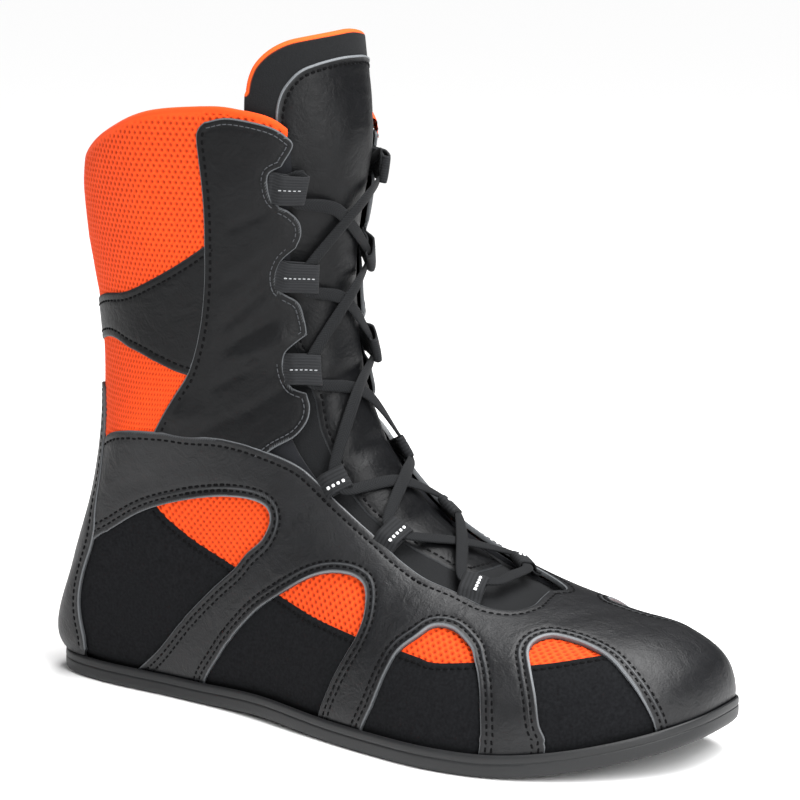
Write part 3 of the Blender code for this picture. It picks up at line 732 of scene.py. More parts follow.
def stitch_points(line, lift, pitch=THREAD_PITCH, long=THREAD_LONG, wide=THREAD_WIDE,
                  high=THREAD_HIGH, base=None):
    """Low rounded stitches along a surface line; returns points of 16 for each."""
    p = on_last(*line.T)
    run = run_along(p)
    at = np.arange(pitch / 2, run[-1] - long / 2, pitch)
    if not len(at):
        return np.zeros((0, 3))
    shape = []
    for offset, thin, tall in ((-0.5, 0.45, 0.0), (-0.3, 1.0, 1.0), (0.3, 1.0, 1.0),
                               (0.5, 0.45, 0.0)):
        where = at + offset * long
        u, t = resampled(line, run, where).T
        out = slopes(u, t)[2]
        ahead = resampled(p, run, where + 0.3) - resampled(p, run, where - 0.3)
        beside_way = unit(np.cross(out, ahead))
        middle = over_last(u, t, lift + (base(u, t) if base else 0.0))
        for reach, rise in ((-0.5, 0.0), (-0.28, 1.0), (0.28, 1.0), (0.5, 0.0)):
            shape.append(middle + beside_way * reach * wide * thin + out * rise * tall * high)
    return np.stack(shape, axis=1).reshape(-1, 3)


def add_stitches(name, groups, material):
    """One piece of all the stitches in the groups."""
    points = np.vstack(groups)
    cell = np.array(grid_faces(4, 4))
    starts = np.arange(0, len(points), 16)
    faces = (starts[:, None, None] + cell[None]).reshape(-1, 4).tolist()
    return add_piece(name, points, faces, material, smooth=0)


def seam(lines, sign, whole, distance, lift, pitch=THREAD_PITCH, wide=THREAD_WIDE, base=None):
    """Stitches beside the given outline lines, broken where another edge is too near."""
    groups = []
    for line in lines:
        row = beside(line, sign * distance)
        level = base(*row.T) if base else 0.0
        keep = nearest(over_last(*row.T, lift + level), whole) > SEAM_CLEAR * distance
        cuts = np.flatnonzero(np.diff(keep.astype(int))) + 1
        for part, good in zip(np.split(row, cuts), np.split(keep, cuts)):
            if good[0] and len(part) > 3:
                groups.append(stitch_points(part, lift, pitch, wide=wide, base=base))
    return groups


# How much nearer to the ridge the inner side's panels reach: (section, share).
INNER_LEAN = ((0.0, 0.03), (2.0, 0.09), (3.4, 0.105), (4.4, 0.098), (5.1, 0.085), (5.6, 0.066),
              (7.0, 0.07), (9.2, 0.07), (10.5, 0.06), (12.0, 0.06), (13.0, 0.065),
              (14.5, 0.07), (15.5, 0.04), (16.5, -0.04), (18.0, -0.07))


def place_on(side, points):
    """Points (u, a) given on the outer side, as (u, t) on either side.

    The throat lies a little towards the outer side, so the inner side's panels reach
    nearer to the ridge."""
    p = np.asarray(points, float)
    if side == OUTER:
        return p - (0.0, 1.0)
    lean = ramp(p[:, 1], 0.45, 0.75) * ramp(p[:, 1], 1.0, 0.8)
    a = p[:, 1] + lean * read(INNER_LEAN, p[:, 0])
    return np.stack([p[:, 0], 1.0 - a], axis=1)


def thread_material(name, colour, roughness, shine=0.5):
    """Twisted polyester thread: one plain colour, broken by the fine twist."""
    material, tree, shader = new_material(name, colour, roughness, Specular_IOR_Level=shine)
    place = add_node(tree, "ShaderNodeTexCoord")
    twist = add_node(tree, "ShaderNodeTexNoise", {"Scale": 3000.0},
                     {"Vector": place.outputs["Object"]})
    bump = add_node(tree, "ShaderNodeBump", {"Strength": 0.4, "Distance": 0.0001},
                    {"Height": twist.outputs["Fac"]})
    tree.links.new(bump.outputs["Normal"], shader.inputs["Normal"])
    return material


# Black thread reads as dark dashes on the softly lit leather and sinks into the suede.
thread_dark = thread_material("polyester_thread_black", "#050506", 0.8, 0.1)
SUEDE_LIFT, MESH_LIFT = -1.0, -1.5


def fibre_material(name, dark, light, roughness, scale, detail, relief, depth, bare=None,
                   **shader_values):
    """Matt cloth or felt, whose fibres (so many a metre) give both its tone and its relief."""
    material, tree, _ = new_material(name, light, roughness, **shader_values)
    place = add_node(tree, "ShaderNodeTexCoord")
    fibre = add_node(tree, "ShaderNodeTexNoise", {"Scale": scale, "Detail": detail},
                     {"Vector": place.outputs["Object"]})
    dress(tree, dark, light, fibre.outputs["Fac"], fibre.outputs["Fac"], relief, depth, bare)
    return material


# The suede gives no highlight at all: the darkest and flattest black of the boot.
suede = fibre_material("microfibre_suede_black", "#040405", "#1D1E20", 0.95, 900.0, 4.0, 0.5,
                       0.0002, Specular_IOR_Level=0.06, Sheen_Weight=0.01,
                       Sheen_Roughness=0.6)

# Each window: its edge up from the sole, over the arch and down again; then the suede's top.
WINDOWS = (
    (((11.90, 0.20), (11.65, 0.296), (11.45, 0.346), (11.15, 0.425), (10.85, 0.483),
      (10.40, 0.546), (9.85, 0.608), (9.40, 0.646), (9.05, 0.662), (8.85, 0.646),
      (8.80, 0.604), (8.90, 0.554), (8.95, 0.508), (9.10, 0.438), (9.25, 0.346),
      (9.35, 0.246), (9.55, 0.154), (9.66, 0.10)),
     ((11.30, 0.47), (10.85, 0.483), (9.90, 0.497), (8.95, 0.508), (8.40, 0.515))),
    (((8.62, 0.15), (8.60, 0.221), (8.55, 0.292), (8.50, 0.362), (8.35, 0.454), (8.15, 0.521),
      (7.90, 0.588), (7.70, 0.629), (7.45, 0.662), (7.15, 0.683), (6.90, 0.675),
      (6.70, 0.621), (6.65, 0.562), (6.70, 0.500), (6.76, 0.430), (6.80, 0.325),
      (6.82, 0.20)),
     ((8.60, 0.512), (8.15, 0.521), (7.55, 0.533), (7.00, 0.550), (6.70, 0.558), (6.20, 0.57))),
    (((6.14, 0.20), (6.10, 0.333), (6.03, 0.430), (6.00, 0.521), (5.95, 0.580),
      (5.80, 0.633), (5.70, 0.671), (5.55, 0.688), (5.35, 0.688), (5.05, 0.662),
      (4.88, 0.629), (4.70, 0.588), (4.50, 0.525), (4.25, 0.408), (4.15, 0.25)),
     ((6.30, 0.575), (5.95, 0.583), (5.65, 0.588), (5.40, 0.592), (4.90, 0.629),
      (4.50, 0.66))),
    (((3.20, 0.25), (3.35, 0.421), (3.60, 0.496), (3.85, 0.575), (4.15, 0.650),
      (4.35, 0.704), (4.38, 0.745), (4.28, 0.778), (4.10, 0.786), (3.80, 0.782),
      (3.40, 0.755), (2.95, 0.704), (2.50, 0.650), (2.05, 0.588), (1.75, 0.537),
      (1.55, 0.479), (1.40, 0.35)),
     ((4.50, 0.645), (4.20, 0.667), (3.90, 0.700), (3.50, 0.758), (3.20, 0.80))),
)
SOLE_LEVEL = 4.0         # panels end this high over the tread, behind the lip of the sole


def sole_points(side, from_u, to_u):
    """Points (u, t) along the level where the panels end behind the sole's lip."""
    u = np.linspace(from_u, to_u, max(4, int(abs(to_u - from_u) * 12)))
    return np.stack([u, side * (1.0 - share_at_level(u, side, SOLE_LEVEL))], axis=1)


def over_sole(line, side):
    """The part of a (u, t) line that stands over the sole level."""
    floor = share_at_level(line[:, 0], side, SOLE_LEVEL)
    over = np.flatnonzero(1.0 - np.abs(line[:, 1]) > floor)
    return line[over[0]:over[-1] + 1]


def foot_knit(u, t, places):
    """Knit coordinates on the side of the foot: along it, and up round it."""
    girth = np.where(t < 0, np.interp(u, TABLE_U, GIRTH[OUTER]),
                     np.interp(u, TABLE_U, GIRTH[INNER]))
    return places[:, 0], (1.0 - np.abs(t)) * girth


UNDER_EDGE = 4.5         # how far the let-in panels reach under the cage
SUEDE_SEAM = 2.3
side_name = {OUTER: "outer", INNER: "inner"}
seams = []
for side in (OUTER, INNER):
    for number, (arch, top) in enumerate(WINDOWS, start=1):
        arch, top = np.asarray(through(arch)), np.asarray(through(top))[::-1]
        level = np.interp(arch[:, 0], top[:, 0], top[:, 1])
        upper = np.flatnonzero(arch[:, 1] >= level - 0.01)
        begin, end = upper[0], upper[-1]
        outward = -side * UNDER_EDGE
        over = evenly(place_on(side, arch[begin:end + 1]), 1.5)
        low = place_on(side, np.stack([top[:, 0], top[:, 1] - 0.03], axis=1))
        grown_over = beside(over, outward)
        first, last = grown_over[0, 0], grown_over[-1, 0]
        inside_span = (low[:, 0] > last) & (low[:, 0] < first)
        hem = np.vstack([grown_over[-1:], low[inside_span], grown_over[:1]])
        panel("window_mesh_%s_%d" % (side_name[side], number),
              [("hidden", grown_over), ("hidden", hem if len(hem) > 30 else through(hem))],
              orange_knit, MESH_LIFT, 0.5, grid=0.62, pitch=0.7,
              holes=foot_knit)
        left = beside(evenly(place_on(side, arch[:begin + 1]), 1.5), outward)
        right = beside(evenly(place_on(side, arch[end:]), 1.5), outward)
        left, right = over_sole(left, side), over_sole(right, side)
        edge = place_on(side, top[::-1])
        edge = edge[(edge[:, 0] < left[-1, 0]) & (edge[:, 0] > right[0, 0])]
        edge = np.vstack([left[-1:], edge, right[:1]])
        _, lines, sign, whole = panel(
            "window_suede_%s_%d" % (side_name[side], number),
            [("hidden", left), ("plain", edge), ("hidden", right),
             ("hidden", sole_points(side, right[-1, 0], left[0, 0]))],
            suede, SUEDE_LIFT, 1.0, grid=2.0)
        seams += seam(lines[1:2], sign, whole, SUEDE_SEAM, SUEDE_LIFT)
add_stitches("stitches_suede", seams, thread_dark)


# ================================================================ shaft cuffs and back band
# Leather sheets on each side of the shaft, notched in front round the webbing loops, and one
# strap of the same leather round the back, wide at the sides and narrow behind.
CUFF_FRONT = ((17.20, 0.604), (17.15, 0.654), (16.90, 0.708), (16.55, 0.758), (16.15, 0.792),
              (15.80, 0.808), (15.40, 0.783))
CUFF_NOTCHES = (((15.40, 0.783), (15.42, 0.756), (15.30, 0.750), (15.10, 0.752),
                 (14.75, 0.762), (14.35, 0.787)),
                ((14.35, 0.787), (14.00, 0.817), (13.50, 0.850), (13.10, 0.862),
                 (12.88, 0.854)),
                ((12.88, 0.854), (12.90, 0.822), (12.80, 0.812), (12.65, 0.810),
                 (12.30, 0.822), (12.00, 0.844)),
                ((12.00, 0.844), (11.50, 0.883), (11.05, 0.896), (10.75, 0.898)),
                ((10.75, 0.898), (10.82, 0.860), (10.78, 0.846), (10.55, 0.838),
                 (10.15, 0.842), (9.80, 0.867)),
                ((9.80, 0.867), (9.55, 0.862), (9.40, 0.842), (9.40, 0.804), (9.60, 0.750),
                 (9.70, 0.700)))
CUFF_FOOT = ((9.70, 0.700), (10.20, 0.640), (10.90, 0.580), (11.50, 0.500), (11.95, 0.440))
CUFF_BACK = ((11.95, 0.440), (12.30, 0.470), (12.50, 0.521), (12.62, 0.560), (12.95, 0.576),
             (13.40, 0.583), (14.10, 0.583), (14.80, 0.583), (15.75, 0.586), (16.50, 0.583),
             (16.95, 0.582), (17.12, 0.590), (17.20, 0.604))
BAND_TOP = ((14.80, 0.64), (14.82, 0.583), (14.90, 0.500), (15.05, 0.400), (15.20, 0.317),
            (15.50, 0.188), (15.62, 0.0))
BAND_FOOT = ((15.10, 0.0), (14.90, 0.204), (14.30, 0.329), (13.60, 0.433), (12.70, 0.550),
             (12.35, 0.60))
CUFF_LIFT, BAND_LIFT, LEATHER = 0.35, 0.1, 1.3
# Distances of the seams from the edges; pitch and width of the cuffs' stitches.
LEATHER_SEAM, FRONT_SEAM, BACK_SEAM = 3.0, 2.2, 2.4
SUNK = 0.3               # how deep the stitches lie in the leather
FRONT_STITCH, BACK_STITCH = (2.2, 0.5), (3.0, 1.15)
# Soft creases where the ankle bends and the loops pull: from, to, depth and width in mm.
CREASES = (((12.20, 0.69), (11.75, 0.81), 0.9, 2.6), ((11.65, 0.67), (11.15, 0.79), 0.8, 2.4),
           ((11.10, 0.64), (10.55, 0.74), 0.6, 2.4), ((12.75, 0.68), (12.60, 0.78), 1.0, 3.0),
           ((10.55, 0.74), (10.20, 0.83), 0.7, 2.2), ((13.60, 0.66), (13.30, 0.80), 0.35, 2.2),
           ((14.75, 0.66), (14.50, 0.75), 0.45, 2.0), ((11.9, 0.56), (11.5, 0.62), -1.1, 5.0),
           ((11.50, 0.76), (11.10, 0.84), -1.8, 5.0), ((13.60, 0.72), (13.50, 0.80), -0.5, 6.0),
           ((15.60, 0.66), (15.30, 0.72), -0.3, 6.0))


def leather_material(name, light, dark, shine, pebbles):
    """Corrected-grain leather: fine pebbles, soft wrinkles and shine, light cut edges."""
    material, tree, shader = new_material(name, light, 0.45, Specular_IOR_Level=shine)
    place = add_node(tree, "ShaderNodeTexCoord")
    at = {"Vector": place.outputs["Object"]}
    cloud = add_node(tree, "ShaderNodeTexNoise",
                     {"Scale": 170.0, "Detail": 7.0, "Roughness": 0.65}, at)
    pebble = add_node(tree, "ShaderNodeTexVoronoi", {"Scale": 1000.0 / pebbles}, at,
                      feature="SMOOTH_F1")
    crease = add_node(tree, "ShaderNodeTexNoise", {"Scale": 420.0, "Detail": 4.0}, at)
    mix = add_node(tree, "ShaderNodeMath", {1: 0.5},
                   {0: crease.outputs["Fac"], 2: pebble.outputs["Distance"]},
                   operation="MULTIPLY_ADD")
    wrinkle = add_node(tree, "ShaderNodeTexNoise", {"Scale": 130.0, "Detail": 5.0,
                       "Roughness": 0.6, "Distortion": 1.3}, at)
    soft = add_node(tree, "ShaderNodeBump", {"Strength": 0.4, "Distance": 0.0010},
                    {"Height": wrinkle.outputs["Fac"]})
    bump = dress(tree, dark, light, cloud.outputs["Fac"], mix.outputs["Value"], 0.3, 0.0002,
                 bare="#6C6F72")
    tree.links.new(soft.outputs["Normal"], bump.inputs["Normal"])
    spread = add_node(tree, "ShaderNodeMapRange", {"To Min": 0.39, "To Max": 0.55},
                      {"Value": crease.outputs["Fac"]})
    tree.links.new(spread.outputs["Result"], shader.inputs["Roughness"])
    return material


# The foot's leather is smooth and shines softly; the shaft's and the tongue's is duller, and its
# darker colour is painted shade on the shaft and the tongue.
black_leather = leather_material("calf_leather_black", "#131417", "#060607", 0.34, 0.75)
dull_shaded_leather = leather_material("milled_calf_leather_black_shaded", "#0E0F11", "#030304", 0.17, 1.0)


def creased(side, creases):
    """Soft troughs and ridges along short lines on one side of the boot."""
    def relief(u, t, places):
        total = np.zeros(len(places))
        for start, end, depth, width in creases:
            line = on_last(*place_on(side, np.linspace(start, end, 9)).T)
            away = nearest(places, line)
            total -= depth * bell(away, 0.0, width)
        return total
    return relief


seams, light_seams = [], []
# Smoke-grey thread shows as a faint light line beside the cuffs' front edges.
thread_smoke = thread_material("polyester_thread_smoke_grey", "#424447", 0.7, 0.2)
band_top = np.vstack([place_on(OUTER, BAND_TOP[:-1]), [(BAND_TOP[-1][0], -1.0)],
                      [(u, -1.0 - a) for u, a in BAND_TOP[-2::-1]]])
band_foot = np.vstack([[(u, -1.0 - a) for u, a in BAND_FOOT[::-1]],
                       place_on(OUTER, BAND_FOOT)[1:]])
_, lines, sign, whole = panel(
    "back_band_leather",
    [("turned", band_top), ("hidden", (band_top[-1], band_foot[0])), ("turned", band_foot),
     ("hidden", (band_foot[-1], band_top[0]))],
    dull_shaded_leather, BAND_LIFT, LEATHER)
seams += seam([lines[0], lines[2]], sign, whole, LEATHER_SEAM, BAND_LIFT - SUNK)
for side in (OUTER, INNER):
    segments = [("cut", place_on(side, CUFF_FRONT))]
    segments += [("cut", place_on(side, notch)) for notch in CUFF_NOTCHES]
    segments += [("hidden", place_on(side, CUFF_FOOT)), ("cut", place_on(side, CUFF_BACK))]
    _, lines, sign, whole = panel("shaft_cuff_" + side_name[side], segments, dull_shaded_leather,
                                  CUFF_LIFT, LEATHER,
                                  relief=creased(side, CREASES))
    light_seams += seam(lines[:7], sign, whole, FRONT_SEAM, CUFF_LIFT - 0.25, *FRONT_STITCH)
    seams += seam(lines[8:], sign, whole, BACK_SEAM, CUFF_LIFT - SUNK, *BACK_STITCH)
add_stitches("stitches_shaft", seams, thread_dark)
add_stitches("stitches_cuffs", light_seams, thread_smoke)


# ================================================================ the cage
# One leather piece over the toe, both sides and the ankle, cut out in four arches a side.
# Its arches have a rolled light edge and two rows of stitches.
CAGE_THROAT = ((4.95, 1.0), (4.90, 0.946), (4.85, 0.880), (4.98, 0.825), (5.30, 0.797),
               (5.75, 0.796), (6.20, 0.785), (6.65, 0.787), (7.15, 0.796), (7.65, 0.796),
               (8.10, 0.793), (8.60, 0.787), (9.00, 0.775), (9.60, 0.742), (10.25, 0.700),
               (10.85, 0.650), (11.55, 0.567), (12.25, 0.471), (13.00, 0.346),
               (13.45, 0.233), (13.62, 0.10))
CAGE_LIFT, CAGE_THICK = 0.65, 1.9
CAGE_CREASES = (((4.35, 0.86), (4.1, 0.98), 0.35, 4.0), ((3.6, 0.86), (3.4, 0.99), 0.25, 5.0),
                ((9.9, 0.62), (10.4, 0.56), 0.5, 3.0), ((8.6, 0.70), (8.3, 0.76), 0.35, 4.0),
                ((6.4, 0.70), (6.3, 0.76), 0.35, 4.0), ((11.6, 0.45), (11.9, 0.38), 0.4, 3.5))
STITCH_NEAR, STITCH_FAR = 2.3, 4.5


def cage_half(side):
    """Outline of one side of the cage, from the throat's foot back, down and forward."""
    arches = [over_sole(place_on(side, through(arch)), side) for arch, _ in WINDOWS]
    throat = place_on(side, CAGE_THROAT)
    behind = np.array([throat[-1], (12.9, side * 0.91), (12.2, side * 0.89), arches[0][0]])
    parts = [("cut", throat), ("hidden", behind)]
    for k, arch in enumerate(arches):
        parts.append(("window", arch))
        ahead = arches[k + 1][0, 0] if k < 3 else 0.0
        floor = sole_points(side, arch[-1, 0], ahead)
        ends = [arch[-1:], floor[1:-1]] + ([arches[k + 1][:1]] if k < 3 else [floor[-1:]])
        parts.append(("hidden", evenly(np.vstack(ends), 1.2)))
    return parts


outer_half, inner_half = cage_half(OUTER), cage_half(INNER)
toe = np.vstack([outer_half[-1][1][-1:], inner_half[-1][1][-1:]])
segments = outer_half + [("hidden", toe)] + [(kind, line[::-1])
                                             for kind, line in reversed(inner_half)]
_, lines, sign, whole = panel(
    "cage_leather", segments, black_leather, CAGE_LIFT, CAGE_THICK,
    relief=lambda *at: creased(OUTER, CAGE_CREASES)(*at) + creased(INNER, CAGE_CREASES)(*at))
seams = []
for (kind, _), line in zip(segments, lines):
    if kind == "cut":
        seams += seam([line], sign, whole, LEATHER_SEAM, CAGE_LIFT - SUNK)
    if kind == "window":
        seams += seam([line], sign, whole, STITCH_NEAR, CAGE_LIFT - 0.4)
        seams += seam([line], sign, whole, STITCH_FAR, CAGE_LIFT - 0.4)
add_stitches("stitches_cage", seams, thread_dark)


# ================================================================ the heel stay
# A narrow leather piece that covers the back seam from the sole to the ankle.
STAY_FRONT = ((14.55, 0.0), (14.52, 0.08), (14.40, 0.150), (13.90, 0.190), (12.40, 0.258),
              (11.70, 0.281), (11.30, 0.262), (10.85, 0.229), (10.50, 0.192), (10.35, 0.158))
STAY_LIFT, STAY_THICK = 1.1, 1.6
left = over_sole(through(place_on(OUTER, STAY_FRONT)), OUTER)
right = np.stack([left[:, 0], -2.0 - left[:, 1]], axis=1)[::-1]
front = np.vstack([right, left[1:]])
floor_u, floor_t = left[-1]
base = np.linspace((floor_u, floor_t), (floor_u, -2.0 - floor_t), 40)
_, lines, sign, whole = panel("heel_stay_leather", [("cut", front), ("hidden", base)],
                              black_leather, STAY_LIFT, STAY_THICK)
add_stitches("stitches_stay", seam(lines[:1], sign, whole, LEATHER_SEAM, STAY_LIFT - SUNK),
             thread_dark)


# ================================================================ the tongue
# A padded tongue of black textile with an orange lining rolled over its top edge, faced in
# front with leather that has a light corded edge; it lies under the throat and swells up in it.
TONGUE_SIDE = ((17.55, 0.692), (17.0, 0.69), (16.0, 0.695), (14.0, 0.70), (12.0, 0.71),
               (10.0, 0.72), (7.0, 0.735), (5.8, 0.75), (5.0, 0.80), (4.4, 0.86))
TONGUE_TOP = ((18.82, 1.0), (18.80, 0.963), (18.70, 0.858), (18.62, 0.80), (18.45, 0.752),
              (18.20, 0.717), (17.90, 0.700), (17.55, 0.692))
FACE_SIDE = ((16.50, 0.765), (15.50, 0.772), (13.50, 0.80), (12.00, 0.83), (11.00, 0.862),
             (10.30, 0.882), (9.55, 0.879), (9.10, 0.860), (8.55, 0.850), (8.10, 0.838),
             (7.60, 0.836), (7.00, 0.850), (6.50, 0.866), (6.10, 0.885), (5.85, 0.92),
             (5.80, 1.0))
FACE_TOP = ((18.17, 1.0), (18.15, 0.938), (18.05, 0.871), (17.90, 0.825), (17.55, 0.790),
            (17.20, 0.773), (16.85, 0.766), (16.50, 0.765))
TONGUE_DROP, TONGUE_THICK, TONGUE_CROWN = -4.0, 3.8, 2.6
TOP_BACK = 1.8           # how far the tongue's top leans back
SWELLS = ((11.25, 0.8), (9.55, 1.2), (8.35, 1.2), (7.05, 1.1), (6.2, 0.7))


def tongue_level(u, t):
    """Lift of the tongue's surface: under the throat's edges, swollen up between them."""
    edge = np.where(t < 0, throat_share(np.minimum(u, 18.0), OUTER),
                    throat_share(np.minimum(u, 18.0), INNER))
    within = ramp(edge + np.abs(t), 0.98, 0.86) * ramp(u, 5.1, 6.3)
    within = within * (1.0 - 0.75 * ramp(u, 14.8, 17.0))
    level = TONGUE_DROP + TONGUE_CROWN * ease(within) - TOP_BACK * ramp(u, 15.5, 17.5)
    for place, depth in SWELLS:
        level = level - depth * within * bell(u, place, 0.16)
    return level


# Woven cloth a little lighter than the suede; its rolled edge shows the orange lining.
tongue_textile = fibre_material("polyester_textile_black", "#0B0C0D", "#17181A", 0.8,
                                1000.0 / 0.6, 3.0, 0.5, 0.0002, bare="#F0591F",
                                Specular_IOR_Level=0.15, Sheen_Weight=0.02,
                                Sheen_Roughness=0.6)


def mirrored(points):
    """Left half of a shape followed by its right half, both as (u, t)."""
    outer = place_on(OUTER, points)
    return outer[::-1] * (1.0, -1.0), outer


top_inner, top_outer = mirrored(TONGUE_TOP)
side_inner, side_outer = mirrored(TONGUE_SIDE)
tongue, lines, sign, whole = panel(
    "tongue_body", [("roll", np.vstack([top_inner[:-1], top_outer])),
                    ("hidden", side_outer), ("hidden", (side_outer[-1], side_inner[0])),
                    ("hidden", side_inner)],
    tongue_textile, 0.0, TONGUE_THICK, base=tongue_level, grid=2.2,
    lining=lining_knit)
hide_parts("tongue")
top_inner, top_outer = mirrored(FACE_TOP)
side_inner, side_outer = mirrored(FACE_SIDE)
FACE_LIFT = 0.45
_, lines, sign, whole = panel(
    "tongue_face_leather", [("cord", np.vstack([top_inner[:-1], top_outer])),
                            ("turned", np.vstack([side_outer, side_inner[1:]]))],
    dull_shaded_leather, FACE_LIFT, 0.9, base=tongue_level)
seams = seam(lines[:1], sign, whole, LEATHER_SEAM, FACE_LIFT - 0.2, base=tongue_level)
seams += seam(lines[1:], sign, whole, LEATHER_SEAM, FACE_LIFT - SUNK, base=tongue_level)
add_stitches("stitches_tongue", seams, thread_dark)


# ================================================================ webbing loops
# Six pairs of folded tapes sewn under the throat's edges, which carry the lace. The upper
# three are flat webbing with one row of stitches, the lower three ribbed tape with bar tacks.
LOOP_LINES = (((5.55, 0.795), (5.72, 0.880)), ((7.05, 0.785), (7.05, 0.872)),
              ((8.42, 0.782), (8.22, 0.852)), ((10.55, 0.840), (9.97, 0.905)),
              ((12.65, 0.812), (11.85, 0.905)), ((15.00, 0.762), (14.32, 0.852)))
LOOP_WIDE, TAPE_WIDE, FOLD = 11.6, 9.0, 1.25
LOOP_LIFT = 1.3
FAR_LOOP = 2.0           # the inner upper loops stand up more
ROOT_LIFT, ROOT_FOLD = -0.8, 0.4     # where a loop comes out from under the leather
ROOT_UNDER, OUT_BY = 1.5, 3.5        # how far it starts under it, and where it stands free


def frame_at(u, t, toward):
    """Local frame on the last: first way is towards a (u, t) step, second is square to it."""
    by_u, by_t, out = slopes(np.array([u]), np.array([t]))
    first = unit(by_u[0] * toward[0] + by_t[0] * toward[1])
    return first, unit(np.cross(out[0], first)), by_u[0], by_t[0]


def shifted(u, t, toward, along, square):
    """(u, t) places that lie so many millimetres along and square to a line on the last."""
    first, second, by_u, by_t = frame_at(u, t, toward)
    step = np.asarray(along)[..., None] * first + np.asarray(square)[..., None] * second
    matrix = np.stack([by_u, by_t], axis=1)
    solved = np.linalg.lstsq(matrix, step.reshape(-1, 3).T, rcond=None)[0].T
    return u + solved[:, 0].reshape(step.shape[:-1]), t + solved[:, 1].reshape(step.shape[:-1])


def wave_share(tree, socket, mm):
    """A socket that waves from 0 to 1 once in so many millimetres of another."""
    wave = add_node(tree, "ShaderNodeMath", {1: 2 * math.pi / mm}, {0: socket},
                    operation="MULTIPLY")
    sine = add_node(tree, "ShaderNodeMath", None, {0: wave.outputs["Value"]}, operation="SINE")
    share = add_node(tree, "ShaderNodeMapRange", {"From Min": -1.0},
                     {"Value": sine.outputs["Value"]})
    return share.outputs["Result"]


def webbing_material(name, light, dark, rib_mm):
    """Woven polyester tape: ribs along it, from a coordinate kept on its points."""
    material, tree, _ = new_material(name, light, 0.8, Specular_IOR_Level=0.2,
                                     Sheen_Weight=0.03, Sheen_Roughness=0.5)
    rib = add_node(tree, "ShaderNodeAttribute", attribute_name="rib")
    place = add_node(tree, "ShaderNodeTexCoord")
    fuzz = add_node(tree, "ShaderNodeTexNoise", {"Scale": 2500.0},
                    {"Vector": place.outputs["Object"]})
    blend = add_node(tree, "ShaderNodeMath", {1: 0.6},
                     {0: fuzz.outputs["Fac"], 2: wave_share(tree, rib.outputs["Fac"], rib_mm)},
                     operation="MULTIPLY_ADD")
    dress(tree, dark, light, blend.outputs["Value"], blend.outputs["Value"], 0.35, 0.0002)
    return material


# Grey webbing with fine ribs, and blacker tape with coarse ones.
webbing_grey = webbing_material("polyester_webbing_grey", "#222325", "#141517", 1.1)
tape_black = webbing_material("ribbed_tape_black", "#1D1E20", "#0C0D0E", 1.5)
# Light threads give the dashes on the webbing and the bright dots on the ribbed tapes.
thread_grey = thread_material("polyester_thread_light_grey", "#8E9092", 0.5)
thread_white = thread_material("polyester_thread_white", "#F4F5F6", 0.45)
LACE_FROM_FOLD, LACE_EDGE = 2.6, 5.2  # where the lace runs in a loop, in mm
# Pitch, length, width and height of the stitches on the flat and on the ribbed tapes.
DASH, DOT = (1.7, 1.2, 0.5, 0.3), (1.9, 1.15, 1.25, 0.5)
grey_stitches, white_stitches = [], []
holds = {OUTER: [], INNER: []}
for pair, (start, end) in enumerate(LOOP_LINES, start=1):
    flat = pair > 3
    width = LOOP_WIDE if flat else TAPE_WIDE
    for side in (OUTER, INNER):
        (u0, t0), (u1, t1) = place_on(side, (start, end))
        toward = (u1 - u0, t1 - t0)
        length = float(np.linalg.norm(on_last(u1, t1) - on_last(u0, t0)))
        # The tape's profile: out along the top, round the fold and back underneath.
        turn = np.linspace(0.0, math.pi, 9)
        top = np.linspace(-ROOT_UNDER, length - FOLD, 12)[:-1]
        reach = np.concatenate([top, length - FOLD + FOLD * np.sin(turn), top[::-1]])
        lift = np.concatenate([np.full(11, 1.0), np.cos(turn), np.full(11, -1.0)])
        out = ease(ramp(reach, 0.0, OUT_BY))
        stand = (FAR_LOOP if side == INNER and flat else 0.0) * ramp(reach, 0.0, length)
        middle = ROOT_LIFT + (LOOP_LIFT - ROOT_LIFT) * out + stand
        lift = middle + lift * (ROOT_FOLD + (FOLD - ROOT_FOLD) * out)
        ribs = np.linspace(-0.5, 0.5, 13) * width
        pillow = 0.25 * (1.0 - (2.0 * ribs / width) ** 4)
        grid_reach, grid_rib = np.meshgrid(reach, ribs, indexing="ij")
        u, t = shifted(u0, t0, toward, grid_reach, grid_rib)
        high = lift[:, None] + np.sign(lift - middle)[:, None] * pillow[None, :]
        places = over_last(u, t, high).reshape(-1, 3)
        name = "loop_%s_%d_webbing" % (side_name[side], pair)
        piece = add_piece(name, places, grid_faces(len(reach), len(ribs)),
                          webbing_grey if flat else tape_black, smooth=0)
        store(piece, "rib", grid_rib.ravel())
        fold = piece.modifiers.new("tape", "SOLIDIFY")
        fold.thickness, fold.offset = 0.0007, 0.0
        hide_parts("loop_%s_%d" % (side_name[side], pair))
        run = np.linspace(2.0, length - 0.8, 14)
        row = np.stack(shifted(u0, t0, toward, run, np.full(14, 0.0 if flat else -1.6)), axis=1)
        above = LOOP_LIFT + FOLD + 0.5 + (FAR_LOOP * 0.6 if side == INNER and flat else 0.0)
        if flat:
            grey_stitches.append(stitch_points(row, above, *DASH))
        else:
            white_stitches.append(stitch_points(row, above, *DOT))
        # The lace passes here, on both edges of the tape and in its middle.
        hold = np.stack(shifted(u0, t0, toward, np.full(3, length - LACE_FROM_FOLD),
                                np.array([-LACE_EDGE, 0.0, LACE_EDGE])), axis=1)
        holds[side].append(hold[np.argsort(hold[:, 0])].tolist())
add_stitches("stitches_loops_grey", grey_stitches, thread_grey)
add_stitches("stitches_loops_white", white_stitches, thread_white)


# ================================================================ the lace
# One flat woven lace: a bar between the lowest loops, then crossed over the tongue from pair
# to pair. Its hidden ends stop just above the top loops, tucked behind the cuffs.
LACE_WIDE, LACE_THICK = 5.0, 1.3
IN_LOOP, ON_TONGUE = 1.3, 1.6        # heights of its middle over the last
OVER = 0.7                           # how far a strand goes over or under the other
BAR_MIDDLE = (5.45, -0.035)
